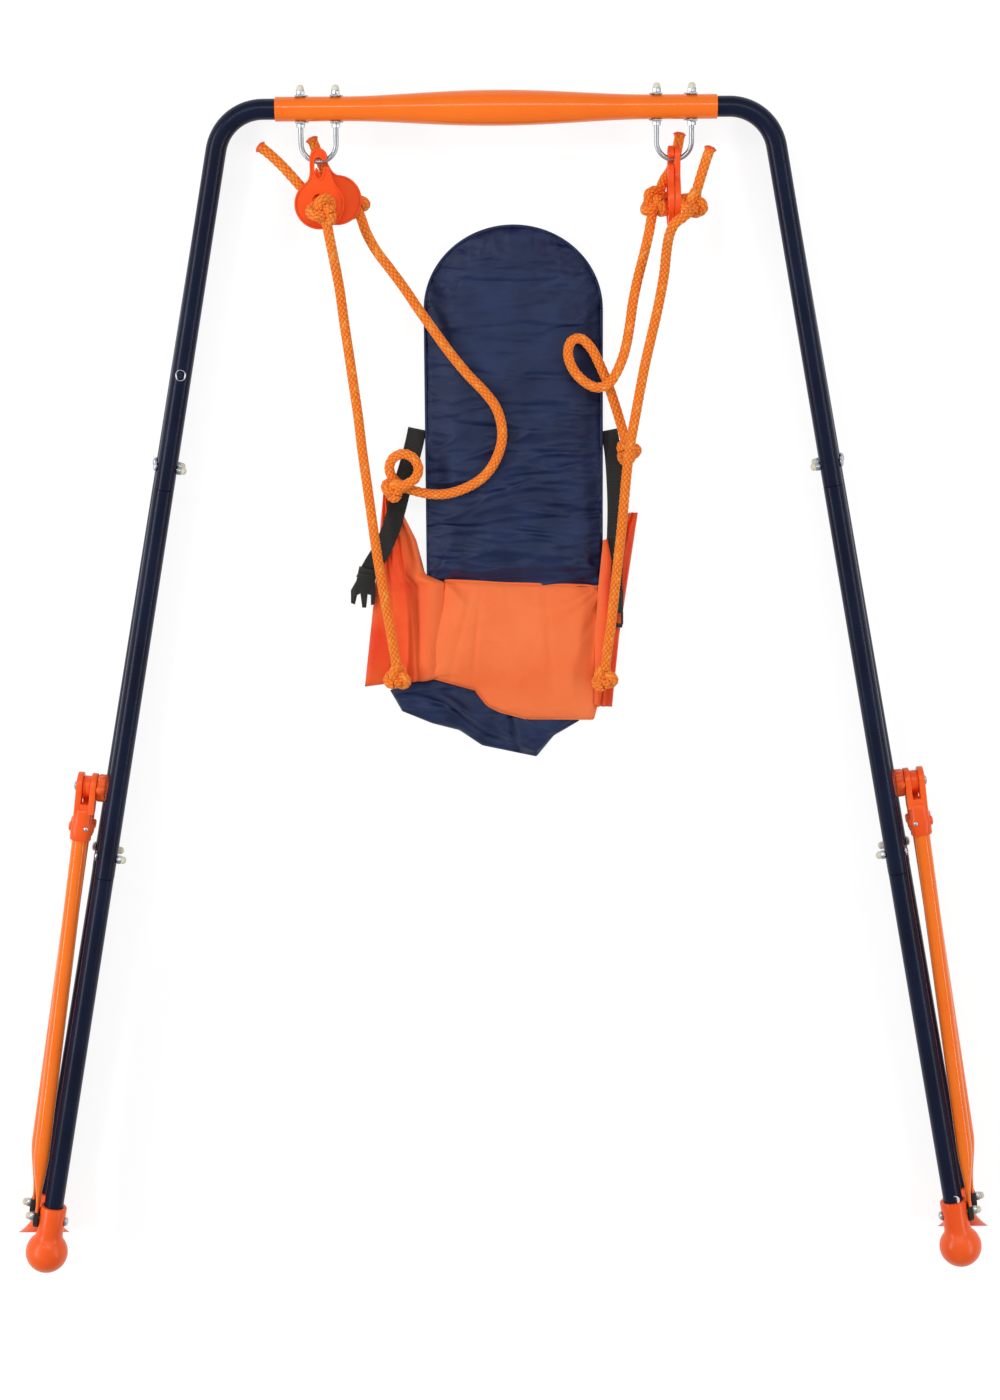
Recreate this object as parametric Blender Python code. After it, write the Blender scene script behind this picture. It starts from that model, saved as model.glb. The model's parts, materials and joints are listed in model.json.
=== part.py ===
"""Toddler swing, folded flat and lying on its back.

Two hinged steel frames, folding side braces and a fabric seat on ropes. X runs across the
swing, Y from the feet up to the top bar and Z from the rear frame to the front frame.
"""

import bmesh
import bpy
from math import atan2, cos, hypot, pi, radians, sin, tan
from mathutils import Matrix, Vector

for old in list(bpy.data.objects):
    bpy.data.objects.remove(old, do_unlink=True)

# Clearances, in metres
FIT = 0.0003
SHAFT_FIT = 0.0004
LINK_GAP = 0.0008
FACETS = 16

# Frame tubes
BAR_HEIGHT = 1.4435
BAR_HALF = 0.3272
SPLAY = radians(10.3)
BEND_RADIUS = 0.058
TUBE_RADIUS = 0.0125
LOWER_RADIUS = 0.0122
TUBE_WALL = 0.0012
TUBE_REACH = 0.170
SPIGOT = 0.055
UPPER_JOINT = 0.988
LOWER_JOINT = 0.498
BOLT_ABOVE_JOINT = 0.026
FRAME_SPACING = 0.050
REAR_WIDER = 0.004
REAR_SPLAY = radians(10.6)
OPEN_LEAN = radians(22)

# Top bar sleeves
SLEEVE_HALF = 0.264
SLEEVE_RADIUS = 0.0147
SLEEVE_WALL = 0.0016
BELLY_RADIUS = 0.0213
BELLY_HALF = 0.155

# Feet
FOOT_BOLT_HEIGHT = 0.044
SOCKET_RADIUS = 0.0170
SOCKET_TOP = 0.063
SOCKET_FLOOR = 0.024
SOCKET_FLAT = 0.0155
BALL_RADIUS = 0.027
BALL_SOLE_DEPTH = 0.0012
FLARE_RADIUS = 0.033
FLARE_SOLE = 0.007
FLARE_NECK = 0.030

# Fasteners
SHANK = 0.0030
BORE = SHANK + SHAFT_FIT
NUT_CORNER = 0.0058
NUT_HEIGHT = 0.0050
HEAD_RADIUS = 0.0062
HEAD_HEIGHT = 0.0042
CAP_RADIUS = 0.0046
CAP_HEIGHT = 0.0062

# Hanger bolts and hinge straps
HANGER_SPACING = 0.4254
HANGER_HALF = 0.021
HANGER_DROP = 0.062
ROD_RADIUS = 0.0031
HANGER_NUT = 0.0055
STRAP_WIDTH = 0.013
STRAP_THICK = 0.0016
STRAP_PAST_BOLT = 0.009

# Side braces
STRUT_RADIUS = 0.010
STRUT_WALL = 0.0012
STRUT_LATERAL = 0.0228
STRUT_CAP_HALF = 0.0032
HINGE_HEIGHT = 0.604
HINGE_LATERAL = 0.0395
HINGE_DEPTH = 0.032
HINGE_LEAN = radians(6.3)
HINGE_OFFSET = 0.0125
EAR_RADIUS = 0.018
EAR_OUTER = 0.0125
TONGUE_HALF = 0.0046
TONGUE_RADIUS = 0.014
SOCKET_END = 0.026
COLLAR_END = 0.066
FITTING_HALF_WIDTH = 0.0128
FITTING_HALF_DEPTH = 0.0114
KNOB_RADIUS = 0.0175
KNOB_THICK = 0.0118

# Hooks
HOOK_THICK = 0.007
HOOK_LOBE = 0.030
HOOK_LOBE_DROP = 0.050
HOOK_SWING = radians(24)
FRONT_HOOK_OFFSET = ROD_RADIUS + 0.0009
BACK_HOOK_OFFSET = ROD_RADIUS + 0.0026

# Seat and ropes; their heights are measured from the top bar's axis
ROPE_RADIUS = 0.006
BACKREST_HALF = 0.110
BACKREST_BOTTOM = -0.5815
BACKREST_TOP = -0.1405
BACKREST_CENTRE = 0.0195
BACKREST_THICK = 0.024
SEAT_THICK = 0.021
PANEL_THICK = 0.011
FLOOR_CLEAR = 0.0006
WEBBING_HALF = 0.0115
WEBBING_THICK = 0.0016

SIDES = (("left", -1), ("right", 1))
Z = Vector((0, 0, 1))
Y = Vector((0, 1, 0))
X = Vector((1, 0, 0))


# Materials
def finish(name, colour, roughness, metallic=0.0, coat=0.0):
    material = bpy.data.materials.new(name)
    material.use_nodes = True
    shader = material.node_tree.nodes["Principled BSDF"]
    shader.inputs["Base Color"].default_value = (*colour, 1)
    shader.inputs["Roughness"].default_value = roughness
    shader.inputs["Metallic"].default_value = metallic
    shader.inputs["Coat Weight"].default_value = coat
    material.diffuse_color = (*colour, 1)
    return material


NAVY_PAINT = finish("navy gloss paint", (0.012, 0.018, 0.055), 0.25, 0.0, 0.6)
ORANGE_PAINT = finish("orange gloss paint", (0.90, 0.19, 0.02), 0.28, 0.0, 0.4)
ORANGE_PLASTIC = finish("orange moulded plastic", (0.83, 0.10, 0.015), 0.38)
HOOK_PLASTIC = finish("red orange plastic", (0.85, 0.07, 0.02), 0.40)
ZINC = finish("zinc plate", (0.72, 0.73, 0.72), 0.28, 1.0)
BLACK_PLASTIC = finish("black plastic", (0.012, 0.012, 0.011), 0.45)
BLACK_WEBBING = finish("black webbing", (0.015, 0.015, 0.014), 0.85)
ORANGE_ROPE = finish("orange braided rope", (0.92, 0.22, 0.02), 0.75)
ORANGE_CLOTH = finish("orange nylon", (0.90, 0.16, 0.03), 0.60)
NAVY_CLOTH = finish("navy nylon", (0.015, 0.024, 0.085), 0.50)


# The swing lies on its back on the rear soles and on the rear sleeve's belly
FLAT = cos(pi / FACETS)
HEEL_DROP = FLARE_RADIUS * FLAT * cos(OPEN_LEAN)
HEEL_REACH = FLARE_RADIUS * FLAT * sin(OPEN_LEAN) - FLARE_SOLE
LIE = atan2(HEEL_DROP - BELLY_RADIUS * FLAT, BAR_HEIGHT + HEEL_REACH)
TOP_REACH = BAR_HEIGHT + SLEEVE_RADIUS + STRAP_THICK + HANGER_NUT + CAP_HEIGHT + 2 * FIT
MIDDLE = (TOP_REACH - BALL_RADIUS) / 2 * cos(LIE) + FRAME_SPACING * sin(LIE)
LIFT = HEEL_DROP * cos(LIE) - HEEL_REACH * sin(LIE)


def empty(name, place, parent=None):
    holder = bpy.data.objects.new(name, None)
    bpy.context.collection.objects.link(holder)
    holder.location = place
    if parent:
        holder.parent = parent
        holder.matrix_parent_inverse = Matrix.Translation(-DESIGN_PLACE[parent.name])
    DESIGN_PLACE[name] = Vector(place)
    return holder


DESIGN_PLACE = {}
root = empty("swing", (0, 0, 0))
FOLD_AXIS = Vector((0, BAR_HEIGHT, 0))
front_frame = empty("front_frame", FOLD_AXIS, root)


# Mesh builders
def ring(centre, u, v, radius, radius_v=None, count=12, square=1.0):
    """Points round a centre; square below 1 makes a rounded rectangle."""
    radius_v = radius if radius_v is None else radius_v
    points = []
    for i in range(count):
        angle = 2 * pi * (i + 0.5) / count
        a, b = cos(angle), sin(angle)
        a = abs(a) ** square * (1 if a > 0 else -1)
        b = abs(b) ** square * (1 if b > 0 else -1)
        points.append(Vector(centre) + u * (radius * a) + v * (radius_v * b))
    return points


def skin(bm, rings, closed=False):
    """Joins rings of equal count with faces, and caps the two ends unless the rings close."""
    loops = [[bm.verts.new(p) for p in points] for points in rings]
    count = len(rings[0])
    pairs = list(zip(loops, loops[1:]))
    if closed:
        pairs.append((loops[-1], loops[0]))
    for low, high in pairs:
        for i in range(count):
            j = (i + 1) % count
            bm.faces.new((low[i], low[j], high[j], high[i]))
    if not closed:
        bm.faces.new(loops[0])
        bm.faces.new(list(reversed(loops[-1])))


def mesh_of(name, rings, closed=False):
    mesh = bpy.data.meshes.new(name)
    bm = bmesh.new()
    skin(bm, rings, closed)
    bmesh.ops.recalc_face_normals(bm, faces=bm.faces)
    bm.to_mesh(mesh)
    bm.free()
    return mesh


def make(name, body, material, parent=root, smooth=35):
    """One object from a body: its rings, and whether they close on themselves."""
    return add(name, mesh_of(name, *body), material, parent, smooth)


def add(name, mesh, material, parent=root, smooth=35):
    thing = bpy.data.objects.new(name, mesh)
    bpy.context.collection.objects.link(thing)
    mesh.materials.append(material)
    mesh.shade_smooth()
    mesh.set_sharp_from_angle(angle=radians(smooth))
    thing.parent = parent
    thing.matrix_parent_inverse = Matrix.Translation(-DESIGN_PLACE[parent.name])
    return thing


def across(axis):
    """Two directions square to an axis and to each other, the second nearest to Z."""
    v = (Z - axis * axis.dot(Z)).normalized() if abs(axis.z) < 0.9 else Y
    return v.cross(axis).normalized(), v


def turned(origin, axis, profile, count=12, closed=False):
    """A body turned round an axis from (distance along, radius) pairs."""
    u, v = across(axis)
    return [ring(origin + axis * d, u, v, r, count=count) for d, r in profile], closed


def drill(thing, bodies, operation="DIFFERENCE"):
    """Cuts bodies out of an object, or joins them to it."""
    for body in bodies:
        mesh = mesh_of(thing.name + "_cutter", *body)
        cutter = bpy.data.objects.new(mesh.name, mesh)
        bpy.context.collection.objects.link(cutter)
        cutter.parent = thing.parent
        cutter.matrix_parent_inverse = thing.matrix_parent_inverse
        cutter.hide_render = True
        cutter.display_type = "WIRE"
        boolean = thing.modifiers.new("cut", "BOOLEAN")
        boolean.operation = operation
        boolean.object = cutter
        boolean.solver = "EXACT"


def hole(place, axis, reach, radius=BORE, count=6):
    """A cutter whose flat sides keep clear of a round of this radius."""
    corner = radius / cos(pi / count)
    return turned(place - axis * reach, axis, ((0, corner), (2 * reach, corner)), count)


# Places on the frames
def leg_point(rear, side, height):
    splay = REAR_SPLAY if rear else SPLAY
    half = BAR_HALF + (REAR_WIDER if rear else 0)
    depth = 0 if rear else FRAME_SPACING
    return Vector((side * (half + (BAR_HEIGHT - height) * tan(splay)), height, depth))


def up_leg(rear, side):
    splay = REAR_SPLAY if rear else SPLAY
    return Vector((-side * sin(splay), cos(splay), 0))


def outward(rear, side):
    splay = REAR_SPLAY if rear else SPLAY
    return Vector((side * cos(splay), sin(splay), 0))


def along_leg(rear, side, distance):
    """A point on a leg's axis at a distance up from the level of the ball's centre."""
    return leg_point(rear, side, 0) + up_leg(rear, side) * distance


def body_of(rear):
    return root if rear else front_frame


# Frame tubes
def bent_tube(rear, name, side):
    """The corner of a frame, from inside the sleeve round to the upper joint."""
    half = BAR_HALF + (REAR_WIDER if rear else 0)
    depth = 0 if rear else FRAME_SPACING
    splay = REAR_SPLAY if rear else SPLAY
    turn = pi / 2 - splay
    tangent = BEND_RADIUS * tan(turn / 2)
    path = [(Vector((side * TUBE_REACH, BAR_HEIGHT, depth)), Y)]
    centre = Vector((side * (half - tangent), BAR_HEIGHT - BEND_RADIUS, depth))
    steps = 6
    for i in range(steps + 1):
        angle = turn * i / steps
        spoke = Vector((side * sin(angle), cos(angle), 0))
        path.append((centre + spoke * BEND_RADIUS, spoke))
    path.append((leg_point(rear, side, UPPER_JOINT), outward(rear, side)))
    inner = TUBE_RADIUS - TUBE_WALL
    rings = [ring(p, u, Z, TUBE_RADIUS) for p, u in path]
    rings += [ring(p, u, Z, inner) for p, u in reversed(path)]
    tube = make(name, (rings, True), NAVY_PAINT, body_of(rear))
    cuts = [leg_hole(rear, side, UPPER_JOINT)]
    if not rear:
        cuts += [hanger_hole(side, k) for k in (-1, 1)]
    drill(tube, cuts)


def leg_tube(rear, name, side, top, bottom, radius, bottom_socket):
    """A straight piece with a spigot that goes up into the tube above."""
    u, v = across(up_leg(rear, side))
    spigot = TUBE_RADIUS - TUBE_WALL - FIT
    bore = spigot - TUBE_WALL
    mouth = TUBE_RADIUS - TUBE_WALL
    up = up_leg(rear, side)
    shoulder = leg_point(rear, side, top) - up * FIT
    tip = shoulder + up * SPIGOT
    if bottom_socket:
        end = leg_point(rear, side, bottom)
        inner = ((tip, bore), (end + up * (SPIGOT + 0.006), bore), (end + up * (SPIGOT + 0.002), mouth), (end, mouth))
    else:
        end = along_leg(rear, side, SOCKET_FLOOR + FIT)
        inner = ((tip, bore), (end, bore))
    outer = ((end, radius), (shoulder, radius), (shoulder, spigot), (tip, spigot))
    rings = [ring(p, u, v, r) for p, r in outer + inner]
    tube = make(name, (rings, True), NAVY_PAINT, body_of(rear))
    cuts = [leg_hole(rear, side, top)]
    if bottom_socket:
        cuts.append(leg_hole(rear, side, bottom))
    else:
        cuts.append(hole(foot_bolt(rear, side), outward(rear, side), 2 * TUBE_RADIUS))
    drill(tube, cuts)


def joint_bolt(rear, side, joint):
    return leg_point(rear, side, joint) + up_leg(rear, side) * BOLT_ABOVE_JOINT


def foot_bolt(rear, side):
    return leg_point(rear, side, FOOT_BOLT_HEIGHT)


def leg_hole(rear, side, joint):
    return hole(joint_bolt(rear, side, joint), outward(rear, side), 2 * TUBE_RADIUS)


# Sleeves over the top bars
def sleeve(rear, name):
    depth = 0 if rear else FRAME_SPACING
    bore = TUBE_RADIUS + FIT
    outer = [(-SLEEVE_HALF, SLEEVE_RADIUS), (-BELLY_HALF, SLEEVE_RADIUS)]
    swell = [(x, 0.5 + 0.5 * cos(pi * x)) for x in (-0.7, -0.4, -0.12, 0.12, 0.4, 0.7)]
    outer += [(x * BELLY_HALF, SLEEVE_RADIUS + (BELLY_RADIUS - SLEEVE_RADIUS) * s) for x, s in swell]
    outer += [(BELLY_HALF, SLEEVE_RADIUS), (SLEEVE_HALF, SLEEVE_RADIUS)]
    inner = [(SLEEVE_HALF, bore), (BELLY_HALF, bore)]
    inner += [(x, r - SLEEVE_WALL - FIT) for x, r in reversed(outer[3:-3])]
    inner += [(-BELLY_HALF, bore), (-SLEEVE_HALF, bore)]
    start = Vector((0, BAR_HEIGHT, depth))
    body = turned(start, X, outer + inner, FACETS, True)
    tube = make(name, body, ORANGE_PAINT, body_of(rear))
    if not rear:
        drill(tube, [hanger_hole(side, k) for _, side in SIDES for k in (-1, 1)])


def hanger_leg(side, k):
    """Where a hanger bolt's leg crosses the front bar's axis."""
    return Vector((side * HANGER_SPACING / 2 + k * HANGER_HALF, BAR_HEIGHT, FRAME_SPACING))


def hanger_hole(side, k):
    return hole(hanger_leg(side, k), Y, 2 * SLEEVE_RADIUS, ROD_RADIUS + SHAFT_FIT)


# Feet
def socket_bore(rear, side):
    axis = up_leg(rear, side)
    radius = LOWER_RADIUS + FIT
    start = leg_point(rear, side, 0)
    depth = SOCKET_TOP - SOCKET_FLOOR
    return turned(start + axis * SOCKET_FLOOR, axis, ((0, radius), (2 * depth, radius)), 12)


def socket_flat(rear, side):
    """A block that leaves the flat which the brace's end turns on."""
    out = outward(rear, side)
    centre = foot_bolt(rear, side) + out * (SOCKET_FLAT + SOCKET_RADIUS)
    low = centre - up_leg(rear, side) * 0.0175
    high = centre + up_leg(rear, side) * (SOCKET_TOP - FOOT_BOLT_HEIGHT + 0.01)
    return [ring(p, out, Z, SOCKET_RADIUS * 1.4142, count=4) for p in (low, high)], False


def ball_foot(name, side):
    axis = up_leg(False, side)
    start = leg_point(False, side, 0)
    meet = (BALL_RADIUS**2 - SOCKET_RADIUS**2) ** 0.5
    angles = [pi * k / 9 for k in range(0, 8)]
    profile = [(-BALL_RADIUS * cos(a), max(BALL_RADIUS * sin(a), 0.0015)) for a in angles]
    profile += [(meet, SOCKET_RADIUS), (SOCKET_TOP - 0.001, SOCKET_RADIUS), (SOCKET_TOP, SOCKET_RADIUS - 0.0008)]
    profile = [p for p in profile if p[0] <= meet or p[1] <= SOCKET_RADIUS]
    foot = make(name, turned(start, axis, profile, FACETS), ORANGE_PLASTIC, front_frame)
    ground = Vector((0, cos(OPEN_LEAN), sin(OPEN_LEAN)))
    sole = start - ground * (BALL_RADIUS - BALL_SOLE_DEPTH)
    below = sole - ground * BALL_RADIUS
    slab = [ring(p, X, ground.cross(X), BALL_RADIUS, count=4) for p in (below, sole)], False
    bolt = foot_bolt(False, side)
    cross = hole(bolt, outward(False, side), 2 * SOCKET_RADIUS)
    drill(foot, [socket_bore(False, side), socket_flat(False, side), slab, cross])


def flare_foot(name, side):
    """A trumpet whose sole lies flat when the frame stands open."""
    axis = up_leg(True, side)
    u, v = outward(True, side), Z
    start = leg_point(True, side, 0)
    ground = Vector((0, cos(OPEN_LEAN), -sin(OPEN_LEAN)))
    flat_v = X.cross(ground)
    sole_u = X * side
    centre = leg_point(True, side, FLARE_SOLE)
    neck = start + axis * FLARE_NECK
    blends = ((1, 1), (0.93, 0.96), (0.72, 0.66), (0.45, 0.35), (0.2, 0.12), (0, 0))
    rings = []
    for level, width in blends:
        radius = SOCKET_RADIUS + (FLARE_RADIUS - SOCKET_RADIUS) * width
        tilt_u = (sole_u * level + u * (1 - level)).normalized()
        tilt_v = (flat_v * level + v * (1 - level)).normalized()
        rings.append(ring(centre * level + neck * (1 - level), tilt_u, tilt_v, radius, count=FACETS))
    rings.append(ring(start + axis * (SOCKET_TOP - 0.001), u, v, SOCKET_RADIUS, count=FACETS))
    rings.append(ring(start + axis * SOCKET_TOP, u, v, SOCKET_RADIUS - 0.0008, count=FACETS))
    foot = make(name, (rings, False), ORANGE_PLASTIC)
    cross = hole(foot_bolt(True, side), u, 2 * SOCKET_RADIUS)
    drill(foot, [socket_bore(True, side), socket_flat(True, side), cross])


# Fasteners
def hexagon(centre, u, v, radius):
    """The six corners of a nut, or six points of a thin shank that a nut goes on."""
    return [Vector(centre) + u * (radius * cos(pi * i / 3)) + v * (radius * sin(pi * i / 3)) for i in range(6)]


def dome(place, axis, u, v, start, sign):
    """The rings of a cream cap from its base outwards."""
    levels = ((0, CAP_RADIUS), (0.6, CAP_RADIUS * 0.93), (1, CAP_RADIUS * 0.4))
    return [hexagon(place + axis * (start + sign * CAP_HEIGHT * a), u, v, r) for a, r in levels]


def bolt(name, place, out, head, nut, parent):
    """A bolt with its nut and dome cap; head and nut are their faces' distances along out."""
    u, v = across(out)
    sign = 1 if head > nut else -1
    rings = [hexagon(place + out * (head + sign * HEAD_HEIGHT), u, v, HEAD_RADIUS * 0.6)]
    rings.append(hexagon(place + out * (head + sign * HEAD_HEIGHT * 0.6), u, v, HEAD_RADIUS))
    rings.append(hexagon(place + out * head, u, v, HEAD_RADIUS))
    rings.append(hexagon(place + out * head, u, v, SHANK))
    rings.append(hexagon(place + out * nut, u, v, SHANK))
    if nut != SOCKET_FLAT - FIT:
        rings.append(hexagon(place + out * nut, u, v, NUT_CORNER))
        rings.append(hexagon(place + out * (nut - sign * NUT_HEIGHT), u, v, NUT_CORNER))
        rings += dome(place, out, u, v, nut - sign * NUT_HEIGHT, -sign)
    make(name, (rings, False), ZINC, parent, 30)


def frame_bolts(rear, prefix):
    seat = TUBE_RADIUS + FIT
    parent = body_of(rear)
    for label, side in SIDES:
        out = outward(rear, side)
        for level, joint in (("upper", UPPER_JOINT), ("lower", LOWER_JOINT)):
            name = f"{prefix}_{level}_bolt_{label}"
            bolt(name, joint_bolt(rear, side, joint), out, seat, -seat, parent)
        end = CAP_CENTRE + STRUT_CAP_HALF + FIT if rear else SOCKET_FLAT - FIT
        name = f"{prefix}_foot_bolt_{label}"
        bolt(name, foot_bolt(rear, side), out, -SOCKET_RADIUS - FIT, end, parent)


def hanger_bolt(name, side):
    """The U bolt that the hooks hang on, with its nuts run up against the straps."""
    bend = HANGER_DROP - HANGER_HALF
    middle = Vector((side * HANGER_SPACING / 2, BAR_HEIGHT, FRAME_SPACING))
    face = SLEEVE_RADIUS + STRAP_THICK + 2 * FIT

    def leg(k):
        """Rings up one leg, from the bend to the top of its cap."""
        place, u = middle + X * (k * HANGER_HALF), X * -k
        upper = place + Y * (face + HANGER_NUT)
        rings = [hexagon(place - Y * (face + HANGER_NUT), u, Z, NUT_CORNER)]
        rings.insert(0, hexagon(place - Y * (face + HANGER_NUT), u, Z, ROD_RADIUS))
        rings.append(hexagon(place - Y * face, u, Z, NUT_CORNER))
        rings.append(hexagon(place - Y * face, u, Z, ROD_RADIUS))
        rings.append(hexagon(place + Y * face, u, Z, ROD_RADIUS))
        rings.append(hexagon(place + Y * face, u, Z, NUT_CORNER))
        rings.append(hexagon(upper, u, Z, NUT_CORNER))
        return rings + dome(upper, Y, u, Z, 0, 1)

    rings = list(reversed(leg(-1)))
    steps = 9
    for i in range(steps + 1):
        angle = pi * i / steps
        spoke = Vector((cos(angle), sin(angle), 0))
        rings.append(hexagon(middle - Y * bend - spoke * HANGER_HALF, spoke, Z, ROD_RADIUS))
    rings += leg(1)
    make(name, (rings, False), ZINC, front_frame, 30)


def hinge_bracket(name, side):
    """Two steel straps under a hanger bolt's nuts that go round the rear bar, the fold's
    axis, and are joined behind it."""
    radius = SLEEVE_RADIUS + FIT + STRAP_THICK / 2
    tail = FRAME_SPACING + STRAP_PAST_BOLT
    centre = Vector((side * HANGER_SPACING / 2, BAR_HEIGHT, 0))
    path = [(centre + Y * radius + Z * tail, Y)]
    steps = 8
    for i in range(steps + 1):
        angle = pi * i / steps
        spoke = Vector((0, cos(angle), -sin(angle)))
        path.append((centre + spoke * radius, spoke))
    path.append((centre - Y * radius + Z * tail, -Y))
    half = HANGER_HALF + STRAP_WIDTH / 2
    rings = [flat_ring(p, X, u, half, STRAP_THICK / 2) for p, u in path]
    bracket = make(name, (rings, False), ZINC, front_frame, 30)
    gap = HANGER_HALF - STRAP_WIDTH / 2
    window = [flat_ring(centre + Z * z, X, Y, gap, 2 * radius) for z in (-0.009, 2 * tail)]
    drill(bracket, [(window, False)] + [hanger_hole(side, k) for k in (-1, 1)])


def flat_ring(centre, u, v, half_u, half_v):
    """The four corners of a rectangle."""
    corners = ((1, 1), (-1, 1), (-1, -1), (1, -1))
    return [Vector(centre) + u * (half_u * a) + v * (half_v * b) for a, b in corners]


# Side braces
CAP_CENTRE = SOCKET_FLAT + LINK_GAP + STRUT_CAP_HALF


def hinge_pivot(side):
    place = leg_point(False, side, HINGE_HEIGHT) + outward(False, side) * HINGE_LATERAL
    place.z = HINGE_DEPTH
    return place


def pin_axis(side):
    return Vector((side * cos(HINGE_LEAN), sin(HINGE_LEAN), 0))


def strut_line(rear, side):
    """The strut's foot, its upward direction and its length to beside the hinge pivot."""
    foot = foot_bolt(rear, side) + outward(rear, side) * STRUT_LATERAL
    top = hinge_pivot(side) + Z * (-HINGE_OFFSET if rear else HINGE_OFFSET)
    return foot, (top - foot).normalized(), (top - foot).length


def strut_rings(rear, side, stations, centre_shift=0.0):
    """Rings along a strut from (distance, half width, half depth, share of the tip's shift)."""
    foot, up, _ = strut_line(rear, side)
    out = outward(rear, side)
    out = (out - up * out.dot(up)).normalized()
    deep = up.cross(out) if up.cross(out).z > 0 else out.cross(up)
    shift = CAP_CENTRE - STRUT_LATERAL
    rings = []
    for distance, width, depth, tip in stations:
        centre = foot + up * distance + out * shift * tip
        square = 0.55 if tip == 1 else 0.8 if tip > 0 else 1
        rings.append(ring(centre, out, deep, width, depth, square=square))
    return rings


def strut(rear, name, side, parent):
    """A tube with a flattened, drilled and sheathed end at its foot."""
    length = strut_line(rear, side)[2] - SOCKET_END - 0.006
    r, inner, half = STRUT_RADIUS, STRUT_RADIUS - STRUT_WALL, STRUT_CAP_HALF
    stations = (
        (-0.0140, half - 0.001, 0.0070, 1),
        (-0.0115, half, 0.0105, 1),
        (0.0100, half, 0.0124, 1),
        (0.0102, half - 0.001, 0.0112, 1),
        (0.030, 0.0034, 0.0116, 0.65),
        (0.055, 0.0054, 0.0112, 0.25),
        (0.085, 0.0073, 0.0105, 0.01),
        (0.120, r, r, 0),
        (length, r, r, 0),
        (length, inner, inner, 0),
        (0.125, inner, inner, 0),
    )
    tube = make(name, (strut_rings(rear, side, stations), False), ORANGE_PAINT, parent)
    drill(tube, [hole(foot_bolt(rear, side), outward(rear, side), 2 * STRUT_LATERAL)])


def plate(pivot, axis, up, outline, low, high):
    """A flat plate square to an axis, from (depth, height) points about a pivot."""
    deep = Z
    rise = axis.cross(deep) if axis.cross(deep).dot(up) > 0 else deep.cross(axis)
    rings = []
    for d in (low, high):
        rings.append([pivot + axis * d + deep * a + rise * b for a, b in outline])
    return rings, False


def ear_outline(radius, sign, half_depth, reach):
    """A round eye with a web down to a socket that is offset to one side."""
    points = []
    steps = 12
    for i in range(steps + 1):
        angle = radians(265) * i / steps
        points.append((sign * radius * cos(angle), radius * sin(angle)))
    points.append((sign * (HINGE_OFFSET - half_depth), -reach))
    points.append((sign * (HINGE_OFFSET + half_depth), -reach))
    return points


def fitting(rear, name, side, parent):
    """The plastic socket at a strut's top, with a fork or a tongue on the hinge pin."""
    foot, up, length = strut_line(rear, side)
    r = STRUT_RADIUS + FIT
    top, bottom = length - SOCKET_END, length - COLLAR_END
    width, depth = FITTING_HALF_WIDTH, FITTING_HALF_DEPTH
    stations = (
        (bottom, width, depth, 0),
        (bottom + 0.004, width + 0.0006, depth, 0),
        (bottom + 0.018, width + 0.0006, depth, 0),
        (bottom + 0.022, width - 0.0008, depth - 0.0005, 0),
        (top - 0.003, width - 0.0008, depth - 0.0005, 0),
        (top, width - 0.003, depth - 0.002, 0),
        (top - 0.004, r * 0.5, r * 0.5, 0),
        (top - 0.0055, r, r, 0),
        (bottom, r, r, 0),
    )
    outer = strut_rings(rear, side, stations[:6])
    thing = make(name, (outer, False), ORANGE_PLASTIC, parent)
    axis, pivot = pin_axis(side), hinge_pivot(side)
    sign = -1 if rear else 1
    if rear:
        outline = ear_outline(TONGUE_RADIUS, sign, depth - 0.004, SOCKET_END + 0.003)
        webs = [plate(pivot, axis, up, outline, -TONGUE_HALF, TONGUE_HALF)]
    else:
        outline = ear_outline(EAR_RADIUS, sign, depth - 0.002, SOCKET_END + 0.003)
        inner = TONGUE_HALF + SHAFT_FIT
        webs = [plate(pivot, axis, up, outline, a, b) for a, b in ((inner, EAR_OUTER), (-EAR_OUTER, -inner))]
    drill(thing, webs, "UNION")
    bore_from = foot + up * (bottom - 0.01)
    bore = turned(bore_from, up, ((0, r), (COLLAR_END - SOCKET_END + 0.006, r)), 12)
    drill(thing, [bore, hole(pivot, axis, 2 * EAR_OUTER)])


def clamp_knob(name, side, parent):
    """A scalloped knob on the steel pin that goes through the brace's hinge to a round nut."""
    axis, pivot = pin_axis(side), hinge_pivot(side)
    u, v = across(axis)
    lobes, count = 6, 24
    nut, face = EAR_OUTER + FIT, -EAR_OUTER - FIT
    back = face - KNOB_THICK

    def plain(distance, radius):
        return ring(pivot + axis * distance, u, v, radius, count=count)

    def scallop(distance, radius, depth):
        points = []
        for i in range(count):
            angle = 2 * pi * (i + 0.5) / count
            r = radius + depth * cos(lobes * angle)
            points.append(pivot + axis * distance + u * (r * cos(angle)) + v * (r * sin(angle)))
        return points

    rings = [
        plain(nut + HEAD_HEIGHT, HEAD_RADIUS * 0.6),
        plain(nut + HEAD_HEIGHT * 0.6, HEAD_RADIUS),
        plain(nut, HEAD_RADIUS),
        plain(nut, SHANK),
        plain(face, SHANK),
        scallop(face, KNOB_RADIUS - 0.0020, 0.0008),
        scallop(face - 0.002, KNOB_RADIUS - 0.0012, 0.0012),
        scallop(back + 0.0025, KNOB_RADIUS - 0.0012, 0.0012),
        scallop(back, KNOB_RADIUS - 0.0035, 0.0008),
    ]
    make(name, (rings, False), ORANGE_PLASTIC, parent)


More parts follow.
